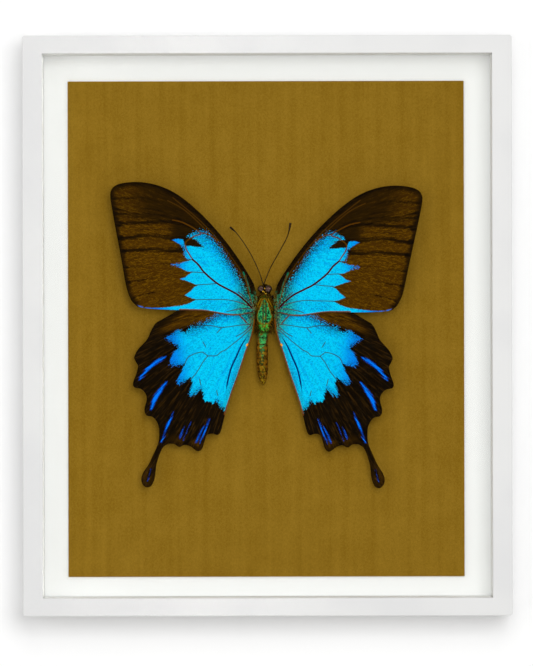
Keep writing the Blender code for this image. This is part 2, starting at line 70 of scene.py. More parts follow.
stile_low, stile_high = node_box_mm("frame_stile_left")
rail_low, rail_high = node_box_mm("frame_rail_top")
pin_low, pin_high = node_box_mm("mounting_pin")

FRAME_WIDTH = -2 * stile_low[0]
FRAME_TOP = rail_high[2]
FRAME_BOTTOM = node_box_mm("frame_rail_bottom")[0][2]
FRAME_HEIGHT = FRAME_TOP - FRAME_BOTTOM
FRAME_MIDDLE = (FRAME_TOP + FRAME_BOTTOM) / 2
FRAME_DEPTH = -rail_low[1]
STILE_WIDTH = stile_high[0] - stile_low[0]
RAIL_WIDTH = FRAME_TOP - rail_low[2]
GLASS_FRONT = -node_box_mm("glass")[0][1]
CARD_FRONT = -node_box_mm("ochre_card")[0][1]
THORAX_X = (pin_low[0] + pin_high[0]) / 2
THORAX_Z = (pin_low[2] + pin_high[2]) / 2
print(f"frame {FRAME_WIDTH:.1f} x {FRAME_HEIGHT:.1f} x {FRAME_DEPTH:.1f} mm, card {CARD_FRONT:.1f} mm out")
print(f"thorax at x {THORAX_X:.1f}, z {THORAX_Z:.1f} mm")

# %% [markdown]
# ## Put the camera where the photographer stood
#
# The picture is taken straight on from a long way off, so the frame's sides hardly show. Its scale comes
# from one length, the frame's height in picture points. A long lens at a bit over two metres keeps that
# flat look, and a turn of a ninth of a degree matches how the frame leans in the picture.

# %% Camera
PICTURE_WIDTH = 533
PICTURE_HEIGHT = 666
FRAME_HEIGHT_IN_PICTURE = 580.9
FRAME_CENTRE_IN_PICTURE = (267.4, 325.6)
CAMERA_DISTANCE = 2200.0
CAMERA_ROLL = math.radians(0.115)
SENSOR = 24.0


def add_object(name, data):
    thing = bpy.data.objects.new(name, data)
    bpy.context.scene.collection.objects.link(thing)
    return thing


point_size = FRAME_HEIGHT / FRAME_HEIGHT_IN_PICTURE
camera_data = bpy.data.cameras.new("camera")
camera_data.sensor_fit = "VERTICAL"
camera_data.sensor_height = SENSOR
camera_data.lens = SENSOR * CAMERA_DISTANCE / (PICTURE_HEIGHT * point_size)
camera = add_object("camera", camera_data)
bpy.context.scene.camera = camera
camera_x = (PICTURE_WIDTH / 2 - FRAME_CENTRE_IN_PICTURE[0]) * point_size
camera_z = FRAME_MIDDLE + (FRAME_CENTRE_IN_PICTURE[1] - PICTURE_HEIGHT / 2) * point_size
camera.matrix_world = (
    Matrix.Translation(Vector((camera_x, -FRAME_DEPTH - CAMERA_DISTANCE, camera_z)) * MM)
    @ Matrix.Rotation(CAMERA_ROLL, 4, "Y")
    @ Matrix.Rotation(math.radians(90), 4, "X")
)
print(f"lens {camera_data.lens:.0f} mm, one picture point is {point_size:.4f} mm")

# %% [markdown]
# ## A small box of paints
#
# Every finish here is wired from the same few shader nodes, so short functions give them plain names. Each
# finds its material through the values that go into it. A colour is written as the eye reads it, 0 to 255,
# and turned into the linear values that light uses. Patterns use positions in millimetres, so a noise of
# scale 2 has grains half a millimetre across.

# %% Shader nodes
LIGHT_LEVEL = 1.12


def colour(red, green, blue):
    """The paint that looks like this, from 0 to 255, under the lamps of this scene."""
    linear = []
    for value in (red, green, blue):
        share = value / 255
        linear.append((share / 12.92 if share <= 0.04045 else ((share + 0.055) / 1.055) ** 2.4) / LIGHT_LEVEL)
    return (*linear, 1.0)


def feed(socket, value):
    """Puts a number, a colour or another node's output into a node's input."""
    if isinstance(value, bpy.types.NodeSocket):
        socket.id_data.links.new(value, socket)
    else:
        socket.default_value = value


def add_node(kind, *values, **settings):
    """A new node beside the one that made the first output among these values."""
    tree = next(value.id_data for value in values if isinstance(value, bpy.types.NodeSocket))
    node = tree.nodes.new("ShaderNode" + kind)
    for setting, choice in settings.items():
        setattr(node, setting, choice)
    for socket, value in zip(node.inputs, values):
        feed(socket, value)
    return node


def calculate(operation, *values):
    return add_node("Math", *values, operation=operation).outputs[0]


def plus(result, *others):
    for other in others:
        result = calculate("ADD", result, other)
    return result


def times(result, *others):
    for other in others:
        result = calculate("MULTIPLY", result, other)
    return result


def around_half(pattern, size):
    """A pattern of noise as a shift up and down."""
    return times(calculate("SUBTRACT", pattern, 0.5), size)


def frayed(value, pattern, size):
    """The value, shifted up and down by a pattern of this size, which breaks its borders up."""
    return plus(value, around_half(pattern, size))


def step(value, low, high, first=0.0, last=1.0):
    """Goes smoothly from first to last as the value goes from low to high."""
    return add_node("MapRange", value, low, high, first, last, interpolation_type="SMOOTHSTEP").outputs[0]


def mix(share, first, second):
    node = add_node("Mix", share, data_type="RGBA")
    feed(node.inputs["A"], first)
    feed(node.inputs["B"], second)
    return node.outputs["Result"]


def over(under, *coats):
    """Lays coats over a colour: each is a share from 0 to 1, then its red, green and blue."""
    for share, *top in coats:
        under = mix(share, under, colour(*top))
    return under


def noise(place, scale, detail=2.0, rough=0.5, bend=0.0):
    node = add_node("TexNoise", place)
    for socket, value in (("Scale", scale), ("Detail", detail), ("Roughness", rough), ("Distortion", bend)):
        node.inputs[socket].default_value = value
    return node.outputs["Fac"]


print("middle grey in linear light", round(colour(128, 128, 128)[0], 3))

# %% Paints
class Paint:
    """A material, and what its pattern is made from."""

    def __init__(self, name, **sockets):
        self.material = bpy.data.materials.new(name)
        self.material.use_nodes = True
        self.nodes = self.material.node_tree.nodes
        self.shader = self.nodes["Principled BSDF"]
        self.give(**sockets)

    def give(self, **sockets):
        for socket, value in sockets.items():
            feed(self.shader.inputs[socket.replace("_", " ")], value)

    def millimetres(self, stretch=(1, 1, 1)):
        """Positions in the model, in millimetres, times a stretch on each axis."""
        place = self.nodes.new("ShaderNodeTexCoord").outputs["Object"]
        per_mm = [share / MM for share in stretch]
        return add_node("VectorMath", place, per_mm, operation="MULTIPLY").outputs[0]

    def measures(self, *names):
        """Numbers that the mesh carries at its points, under these names."""
        found = []
        for name in names:
            node = self.nodes.new("ShaderNodeAttribute")
            node.attribute_name = name
            found.append(node.outputs["Fac"])
        return found

    def relief(self, height, depth_mm, share):
        """Bumps of this depth on the surface."""
        node = self.nodes.new("ShaderNodeBump")
        node.inputs["Distance"].default_value = depth_mm * MM
        node.inputs["Strength"].default_value = share
        feed(node.inputs["Height"], height)
        self.give(Normal=node.outputs[0])

    def let_through(self, share):
        """Lets light pass straight through, where share is one."""
        surface = self.nodes["Material Output"].inputs["Surface"]
        clear = self.nodes.new("ShaderNodeBsdfTransparent").outputs[0]
        feed(surface, add_node("MixShader", share, surface.links[0].from_socket, clear).outputs[0])


def cover(mesh, paint):
    mesh.materials.clear()
    mesh.materials.append(paint.material)


def dress(paint, *nodes):
    """Gives solids of the model their finish."""
    for node in nodes:
        cover(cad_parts[node].data, paint)


print("solids to dress", len(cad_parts))

# %% Meshes
def new_mesh(name, points, faces, closed=False):
    """A smooth mesh; the faces of a closed one are all turned outward."""
    mesh = bpy.data.meshes.new(name)
    mesh.from_pydata(points, [], faces)
    if closed:
        bm = bmesh.new()
        bm.from_mesh(mesh)
        bmesh.ops.recalc_face_normals(bm, faces=bm.faces)
        bm.to_mesh(mesh)
        bm.free()
    mesh.shade_smooth()
    return mesh


def write_measures(mesh, measures):
    """Stores named numbers at a mesh's points, where its paint finds them."""
    for name, numbers in measures.items():
        store = mesh.attributes.new(name, "FLOAT", "POINT")
        store.data.foreach_set("value", np.asarray(numbers, dtype=np.float32))


def add_piece(name, mesh, paint, slot, *replaced):
    """Puts a finished mesh in the scene, in the place of the solids it stands for."""
    piece = add_object(name, mesh)
    cover(mesh, paint)
    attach(piece, "root")
    if replaced:
        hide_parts(*replaced)
    return piece


print("meshes so far", len(bpy.data.meshes))

# %% [markdown]
# ## A wall to hang on, and soft light
#
# The frame's back edge touches the wall, and its shadow there is part of the look. The wall is painted on
# its front only, so a view from behind can still see the hanger. Large soft lamps high on the right draw
# the shadows under the frame's lip, one on the left and the room's own light fill them again, and a narrow
# beam brightens the inner side of the left stile. None of them is mirrored in the glass. Two lamps behind
# the wall light the back of the frame alone.

# %% Wall, floor and world
WALL_SIZE = 4000.0
WALL_GAP = 0.6
FLOOR_DROP = 1300.0
ROOM_LIGHT = 0.55
WHITE = (1.0, 1.0, 1.0, 1.0)


def stage_sheet(name, place, turn, paint):
    half = WALL_SIZE / 2 * MM
    corners = [(-half, -half, 0), (half, -half, 0), (half, half, 0), (-half, half, 0)]
    mesh = new_mesh(name, corners, [(0, 1, 2, 3)])
    cover(mesh, paint)
    sheet = add_object(name, mesh)
    sheet.matrix_world = Matrix.Translation(Vector(place) * MM) @ Matrix.Rotation(turn, 4, "X")
    return sheet


wall_paint = Paint("wall_paint", Base_Color=(0.95, 0.95, 0.95, 1.0), Roughness=0.9, Specular_IOR_Level=0.0)
wall_paint.let_through(wall_paint.nodes.new("ShaderNodeNewGeometry").outputs["Backfacing"])
wall = stage_sheet("wall", (0, WALL_GAP, 0), math.radians(90), wall_paint)
wall.visible_shadow = False
floor_paint = Paint("floor_paint", Base_Color=colour(236, 235, 232), Roughness=0.8)
stage_sheet("floor", (0, -WALL_SIZE / 2, FRAME_MIDDLE - FLOOR_DROP), 0, floor_paint)

world = bpy.data.worlds.new("room")
world.use_nodes = True
world.node_tree.nodes["Background"].inputs["Color"].default_value = WHITE
world.node_tree.nodes["Background"].inputs["Strength"].default_value = ROOM_LIGHT
world.cycles_visibility.glossy = False
world.cycles_visibility.transmission = False
bpy.context.scene.world = world
bpy.context.scene.view_settings.view_transform = "Standard"
print("wall and floor", WALL_SIZE * MM, "m wide")

# %% Lamps
def add_lamp(name, place, width, height, watts, aim=(0, 0, 0), spread=180):
    """A soft box at this place, in millimetres from the frame's middle, turned to the aim."""
    data = bpy.data.lights.new(name, "AREA")
    data.shape = "RECTANGLE"
    data.size = width * MM
    data.size_y = height * MM
    data.energy = watts
    data.spread = math.radians(spread)
    lamp = add_object(name, data)
    lamp.location = Vector((0, -FRAME_DEPTH / 2, FRAME_MIDDLE)) * MM + Vector(place) * MM
    lamp.rotation_euler = (Vector(aim) - Vector(place)).to_track_quat("-Z", "Y").to_euler()
    return lamp


for lamp in (
    add_lamp("key_lamp", (225, -1500, 150), 600, 480, 8.6),
    add_lamp("top_lamp", (80, -1450, 560), 540, 480, 3.1),
    add_lamp("fill_lamp", (-750, -1400, 0), 700, 700, 2.9),
    add_lamp("strip_lamp", (260, -45, 0), 8, 236, 0.006, (-87, -9, 0), 2),
):
    lamp.visible_glossy = False
    lamp.visible_transmission = False
add_lamp("back_lamp_left", (-700, 1500, 500), 600, 600, 9.0)
add_lamp("back_lamp_right", (800, 1300, -200), 600, 600, 5.0)
print("lamps", [light.name for light in bpy.data.lights])

# %% [markdown]
# ## White moulding
#
# The frame is four lengths of wooden moulding, mitred, glued and sprayed with satin white. Its section is
# an L: the lip hides the glass's edge and the rabbet behind it holds everything. The model leaves a thin
# gap in each mitre. Paint fills that gap on a sprayed frame, so here the four lengths are drawn again with
# rounder edges and closed mitres, and only the outermost corner of each is nipped off.

# %% Moulding
GLASS_PLAY = 0.3
LIP_BACK = GLASS_FRONT + GLASS_PLAY
OUTER_RADIUS = 0.5
INNER_RADIUS = 0.2
CORNER_NIP = 0.7
NIP_SLOPE = 2.0
RABBET_SHARE = 0.5
EDGE_STEPS = 8
SHARP_EDGE = 40


def moulding_section():
    """Share of the face's width from the outer side, and depth out from the wall."""
    face = (STILE_WIDTH + RAIL_WIDTH) / 2
    outer, inner = (
        [
            (radius * (1 - math.cos(turn)) / face, FRAME_DEPTH - radius * (1 - math.sin(turn)))
            for turn in np.radians(np.linspace(0, 90, EDGE_STEPS))
        ]
        for radius in (OUTER_RADIUS, INNER_RADIUS)
    )
    inner = [(1 - share, depth) for share, depth in reversed(inner)]
    return [(0, 0), *outer, *inner, (1, LIP_BACK), (RABBET_SHARE, LIP_BACK), (RABBET_SHARE, 0)]


def moulding(name, length, own_width, mate_width, offset, turn):
    """One mitred length, turned about the axis towards the viewer and moved to its side of the frame."""
    section = moulding_section()
    corners = []
    for side in (-1, 1):
        for share, depth in section:
            nip = max(0.0, CORNER_NIP - NIP_SLOPE * share * own_width)
            reach = side * (length / 2 - share * mate_width - nip)
            corners.append((reach * MM, -depth * MM, -share * own_width * MM))
    count = len(section)
    faces = [tuple(range(count)), tuple(range(2 * count - 1, count - 1, -1))]
    faces += [(i, i + count, (i + 1) % count + count, (i + 1) % count) for i in range(count)]
    mesh = new_mesh(name, corners, faces, closed=True)
    mesh.transform(Matrix.Translation(Vector(offset) * MM) @ Matrix.Rotation(math.radians(turn), 4, "Y"))
    mesh.set_sharp_from_angle(angle=math.radians(SHARP_EDGE))
    return mesh


white_paint = Paint("satin_white_paint", Roughness=0.3, Specular_IOR_Level=0.5)
haze = noise(white_paint.millimetres((0.03, 0.03, 0.03)), 1.0, 2.0)
white_paint.give(Base_Color=mix(step(haze, 0.35, 0.65), colour(233, 233, 233), colour(238, 238, 237)))
white_paint.relief(noise(white_paint.millimetres(), 0.9, 3.0, 0.6), 0.03, 0.5)
for name, length, own, mate, offset, turn in (
    ("rail_top", FRAME_WIDTH, RAIL_WIDTH, STILE_WIDTH, (0, 0, FRAME_TOP), 0),
    ("rail_bottom", FRAME_WIDTH, RAIL_WIDTH, STILE_WIDTH, (0, 0, FRAME_BOTTOM), 180),
    ("stile_right", FRAME_HEIGHT, STILE_WIDTH, RAIL_WIDTH, (FRAME_WIDTH / 2, 0, FRAME_MIDDLE), 90),
    ("stile_left", FRAME_HEIGHT, STILE_WIDTH, RAIL_WIDTH, (-FRAME_WIDTH / 2, 0, FRAME_MIDDLE), -90),
):
    mesh = moulding(name, length, own, mate, offset, turn)
    add_piece(name, mesh, white_paint, "white_paint", "frame_" + name)
print("moulding lip", round(FRAME_DEPTH - LIP_BACK, 2), "mm thick")

# %% [markdown]
# ## Glass, white board and spacers
#
# Picture glass is nearly invisible from the front. Lamp light is let straight through it, so that it can
# still draw clean shadows on the card. Behind it lies mount board, whose white paper face has a very fine
# tooth. The strips that hold the glass off the board are cut from foam board with the same white face.

# %% Glass and board
BOARD_WHITE = (0.93, 0.93, 0.92, 1.0)

glass_paint = Paint("picture_glass", Roughness=0.0, IOR=1.5, Transmission_Weight=1.0)
glass_paint.give(Base_Color=(0.97, 0.99, 0.98, 1.0))
ray = glass_paint.nodes.new("ShaderNodeLightPath")
for kind in ("Is Diffuse Ray", "Is Shadow Ray"):
    glass_paint.let_through(ray.outputs[kind])
dress(glass_paint, "glass")


def board_finish(name, roughness, stretch, scale, light):
    paint = Paint(name, Roughness=roughness, Specular_IOR_Level=0.2)
    tooth = noise(paint.millimetres(stretch), scale, 3.0, 0.6)
    paint.give(Base_Color=mix(step(tooth, 0.3, 0.7), BOARD_WHITE, light))
    paint.relief(tooth, 0.03, 0.6)
    return paint


board_paint = board_finish("mount_board_paper", 0.85, (1, 1, 1), 2.6, (0.96, 0.96, 0.95, 1.0))
foam_paint = board_finish("spacer_foam_board", 0.8, (1, 2, 1), 2.0, (0.97, 0.97, 0.96, 1.0))
dress(board_paint, "mount_board")
dress(foam_paint, "spacer_top", "spacer_bottom", "spacer_left", "spacer_right")
print("glass and board dressed")

# %% [markdown]
# ## Ochre card
#
# The insect is set against a sheet of dyed paper. Its colour is even from a step away, but close up the
# dye has taken more in some fibres than in others, and faint upright bands show how the sheet ran through
# the mill. Both are drawn with noise: a fine one for the fibres and a stretched one for the bands.

# %% Card
card_paint = Paint("ochre_paper", Roughness=0.9, Specular_IOR_Level=0.05)
fibres = noise(card_paint.millimetres((1, 1, 0.8)), 1.5, 4.0, 0.65)
clouds = noise(card_paint.millimetres((0.12, 1, 0.1)), 1.0, 2.0)
bands = noise(card_paint.millimetres((0.35, 1, 0.012)), 1.0, 2.0)
mottle = plus(times(fibres, 0.55), times(clouds, 0.2), times(bands, 0.25))
card_paint.give(Base_Color=mix(step(mottle, 0.3, 0.7), colour(133, 98, 20), colour(156, 120, 36)))
card_paint.relief(fibres, 0.05, 0.7)
dress(card_paint, "ochre_card")
print("card dressed")

# %% [markdown]
# ## The back of the frame
#
# A thin hardboard closes the back: pressed wood fibres, brown and flecked. Zinc-plated points hold it in,
# and the nail in the wall carries a toothed steel strip on two brass-plated rivets.

# %% Back panel, points, hanger and rivets
EASED_EDGE = 0.12

panel_paint = Paint("hardboard_back", Roughness=0.75, Specular_IOR_Level=0.25)
flecks = noise(panel_paint.millimetres((1, 1, 1.6)), 1.2, 5.0, 0.75, 1.2)
stain = noise(panel_paint.millimetres((0.05, 0.05, 0.05)), 1.0, 3.0)
brown = mix(step(flecks, 0.35, 0.68), colour(104, 74, 48), colour(152, 116, 80))
panel_paint.give(Base_Color=over(brown, (step(stain, 0.3, 0.9), 120, 86, 56)))
panel_paint.relief(flecks, 0.08, 0.7)
dress(panel_paint, "back_panel")


def metal_finish(name, dark, light, roughness):
    paint = Paint(name, Metallic=1.0)
    drawn = noise(paint.millimetres((0.4, 1, 9)), 1.0, 4.0, 0.7)
    spangle = noise(paint.millimetres(), 0.9, 2.0)
    paint.give(Base_Color=mix(step(spangle, 0.35, 0.65), dark, light))
    paint.give(Roughness=step(drawn, 0.3, 0.7, roughness - 0.08, roughness + 0.1))
    paint.relief(drawn, 0.02, 0.5)
    return paint


steel_paint = metal_finish("zinc_plated_steel", (0.42, 0.43, 0.44, 1.0), (0.62, 0.62, 0.61, 1.0), 0.36)
brass_paint = metal_finish("brass_plated_rivet", (0.52, 0.37, 0.13, 1.0), (0.66, 0.50, 0.22, 1.0), 0.33)
stamped = ["sawtooth_hanger"] + [f"back_tab_{number}" for number in range(1, 9)]
dress(steel_paint, "mounting_pin", *stamped)
dress(brass_paint, "hanger_rivet_left", "hanger_rivet_right")
for node in stamped:
    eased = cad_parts[node].modifiers.new("eased edges", "BEVEL")
    eased.width = EASED_EDGE * MM
    eased.segments = 2
    eased.limit_method = "ANGLE"
print("back dressed,", len(stamped), "stamped pieces")

# %% [markdown]
# ## Tools for drawing wings
#
# A wing is drawn flat, like a pattern on paper: an outline, and lines for its veins. Four small tools do
# the measuring. One runs a smooth line through a few points, one finds how far every point of the wing is
# from a set of lines, one tells how deep a point lies inside an outline, and one turns a distance into a
# soft step. Each works on all the points at once, so a wing with twenty thousand of them takes a moment.

# %% Drawing tools
def smooth(points, steps=6, closed=False):
    """More points on a smooth line that passes through the given ones."""
    points = np.array(points, dtype=float)
    if closed:
        before, start, end, after = (np.roll(points, shift, axis=0) for shift in (1, 0, -1, -2))
    else:
        padded = np.vstack([points[0], points, points[-1]])
        before, start, end, after = (padded[shift:len(points) - 1 + shift] for shift in range(4))
    t = (np.arange(steps) / steps)[None, :, None]
    before, start, end, after = (near[:, None, :] for near in (before, start, end, after))
    bend = 2 * before - 5 * start + 4 * end - after
    twist = 3 * start - before - 3 * end + after
    line = (start + ((end - before) * t + bend * t**2 + twist * t**3) / 2).reshape(-1, points.shape[1])
    return line if closed else np.vstack([line, points[-1]])


def distance(points, lines, closed=False):
    """How far each point is from the nearest of these lines."""
    nearest = np.full(len(points), 99.0)
    for line in lines:
        line = np.array(line, dtype=float)
        for start, end in zip(line, np.roll(line, -1, axis=0) if closed else line[1:]):
            along = end - start
            share = np.clip((points - start) @ along / max(along @ along, 1e-9), 0, 1)
            gaps = points - start - share[:, None] * along
            nearest = np.minimum(nearest, np.hypot(gaps[:, 0], gaps[:, 1]))
    return nearest


def depth_inside(points, outline):
    """How deep each point lies inside an outline; outside it the depth is below zero."""
    outline = np.array(outline, dtype=float)
    within = np.zeros(len(points), dtype=bool)
    x, y = points[:, 0], points[:, 1]
    for start, end in zip(outline, np.roll(outline, -1, axis=0)):
        if start[1] != end[1]:
            crossing = start[0] + (y - start[1]) / (end[1] - start[1]) * (end[0] - start[0])
            within ^= ((start[1] > y) != (end[1] > y)) & (x < crossing)
    return np.where(within, 1, -1) * distance(points, [outline], closed=True)


def ease(value, low, high):
    share = np.clip((value - low) / (high - low), 0, 1)
    return share * share * (3 - 2 * share)


print("twelve points round a circle of radius 1:", len(smooth([(1, 0), (0, 1), (-1, 0), (0, -1)], 3, True)))

# %% [markdown]
# ## The pattern of the forewing
#
# All wing drawings are in millimetres, out from the body's middle line and up from the thorax's middle,
# for one side. The blue field has teeth along its outer side, one in each cell between two veins, and a
# dusty upper side where blue scales thin out into brown. Veins are sorted by how they look: the red-brown
# main one, rusty ones, thin ones over the blue, faint ones and dark bands in the brown. A rusty hem edges
# the wing below, and green glints lie beside its root.

# %% Forewing drawing
FOREWING = {
    "outline": [
        (3.2, 6.2), (4, 9.3), (5.2, 12.4), (10, 20.2), (15, 27.2), (20, 33.2), (25, 38.4), (30, 42.9),
        (35, 46.5), (40, 48.9), (45, 50.3), (50, 50.8), (55, 50.4), (58, 49.4), (59.6, 47.8), (60.1, 45),
        (58.9, 37.5), (57.5, 30), (55.6, 20), (53.8, 10), (52.1, 5.2), (50.4, 3), (48, 1.8), (38, 1),
        (25, 0.7), (20, 0), (15, -0.9), (11, -1.1), (7, -0.4), (4.2, 0.6), (3.3, 2.8),
    ],
    "patch": [
        (2.6, -1.2), (6, -1.6), (11, -1.9), (15, -1.6), (20, -0.6), (25, 0.3), (30, 0.6), (36, 0.7),
        (42, 0.9), (46, 1.3), (49, 2.3), (49.5, 2.9), (47, 2), (44, 1.7), (40, 1.9), (36, 2.2), (32, 2.8),
        (29, 3.8), (27, 5), (29.5, 5.8), (31.2, 6.6), (29, 8.3), (27.5, 10), (26, 10.6), (27, 10.8),
        (30, 12), (33.2, 13), (31, 13.7), (29.8, 14.8), (28.5, 15.7), (30, 15.8), (31.5, 16.5),
        (33.5, 17.7), (36.3, 18.6), (33, 19.2), (30.5, 20), (28.5, 20.5), (30.4, 20.9), (31.6, 22.4),
        (31.4, 23.8), (31.6, 25.2), (32.8, 26.2), (34.4, 27.2), (36.2, 28.2), (34.6, 28.7), (33, 28.6),
        (31.9, 28.5), (31.6, 27.6), (31.3, 26.4), (30.4, 26), (29, 25.9), (27.5, 25.7), (26, 25.6),
        (24, 25.4), (25, 26.4), (26, 27.5), (27.1, 28.5), (28.4, 29), (30.4, 29.4), (28.9, 30.3),
        (27.2, 31.3), (25.6, 31.8), (24, 31.4), (22.6, 30.4), (20, 28.2), (17.2, 24.6), (14.2, 19.6),
        (11.2, 15), (8.6, 10.8), (6.8, 7.2), (5.6, 4.6), (4.2, 2.4),
    ],
    "dusty": [
        [(5, 4), (6.8, 7.2), (8.6, 10.8), (11.2, 15), (14.2, 19.6), (17.2, 24.6), (20, 28.2), (22.6, 30.4),
        (25.6, 31.7)],
    ],
    "dusky": [
        [(31.6, 21.2), (32.2, 23.5), (31.8, 25.2)], [(34, 18.4), (36.5, 18.7)], [(26.5, 31.4), (30, 29.6)],
        [(12, 2.6), (18, 2.8), (24, 2.8)],
    ],
    "red": [
        [(5.5, 2), (7.2, 3.9), (10.7, 6.9), (15, 9.3), (18.7, 11.35), (23.5, 15.4), (26, 18.6),
        (28.2, 20.6)],
    ],
    "rusty": [
        [(28.2, 20.6), (29.7, 23), (30.8, 24.9), (31, 27), (30, 28.2), (27.5, 29.8), (25.2, 31),
        (31.5, 34.8), (36, 36)], [(18.5, 28), (22, 30.4), (25.2, 31)],
        [(5.4, 3.6), (5.9, 5.4), (6.9, 9.8), (7.9, 14.4)], [(5, 0), (7.5, -0.3), (9.8, -0.9)],
    ],
    "hem": [[(9.8, -1), (11, -1.1), (15, -0.9), (20, 0), (25, 0.7), (33, 0.9)]],
    "glint": [[(5.2, 4.2), (5.9, 7.2), (7.2, 12), (8.6, 15.6)], [(4.5, 4.8), (4.9, 6.8)]],
    "faint": [
        [(6.6, 4.4), (8.3, 9.4), (10.4, 14.4)],
        [(9, 13.8), (13, 19.6), (17, 25), (22, 31), (31, 39.6), (38, 43.6)],
        [(6.2, 10), (10, 16.8), (17, 26.6), (25, 35.4), (36, 44.8)],
    ],
    "thin": [
        [(28.2, 20.6), (30.5, 20.3), (36, 19.6), (46, 18.8), (55.5, 18.3)],
        [(23.5, 15.4), (28.5, 15.7), (34, 15.2), (44, 13.6), (54.7, 12)],
        [(18.7, 11.35), (22, 11), (26.5, 10.7), (36, 9.2), (45, 7.6), (53, 6)],
        [(5, 2), (10, 3.9), (15, 5), (20, 5), (27, 5), (36, 4.4), (49, 3)],
        [(5, 1.5), (10, 1.4), (15, 0.3)], [(5, 2.6), (7, 5), (10.5, 8)],
    ],
    "band": [
        [(25.2, 31), (31.5, 34.8), (36, 35.4), (44, 35), (50, 34.9), (58, 34.2)],
        [(31, 28.4), (36, 28.9), (42, 29.7), (47, 29.8), (52, 29.2), (57.4, 28.8)],
        [(30.8, 24.6), (35, 24), (42, 24.4), (48, 24.3), (56.3, 23.5)],
    ],
    "lines": [
        [(33, 36.4), (38, 38.6), (45, 40.3), (52, 39.7), (59.4, 40.6)],
        [(35, 35.8), (41, 37.9), (48, 38.5), (58.6, 38.4)],
        [(35, 35.4), (41, 36.5), (49, 37), (58.2, 36.6)], [(40, 43.2), (48, 44.6), (59.6, 44)],
        [(37, 18.9), (44, 18.6), (50, 17.7), (55.3, 17.4)], [(42, 13.6), (48, 12.4), (54.2, 11.4)],
        [(41, 8), (47, 6.8), (52.4, 5.2)], [(37, 32.4), (44, 32.2), (50, 32.3)],
    ],
}
print("forewing", len(FOREWING["outline"]), "outline points,", len(FOREWING["patch"]), "round the blue")

# %% [markdown]
# ## The pattern of the hindwing
#
# The hindwing ends in scallops and one long club-shaped tail. Its blue field is a fan of ragged teeth,
# and between the outer veins lie short blue streaks, some in pairs. A dark blue fold runs down beside the
# inner edge, where the living butterfly tucks this strip under its abdomen.

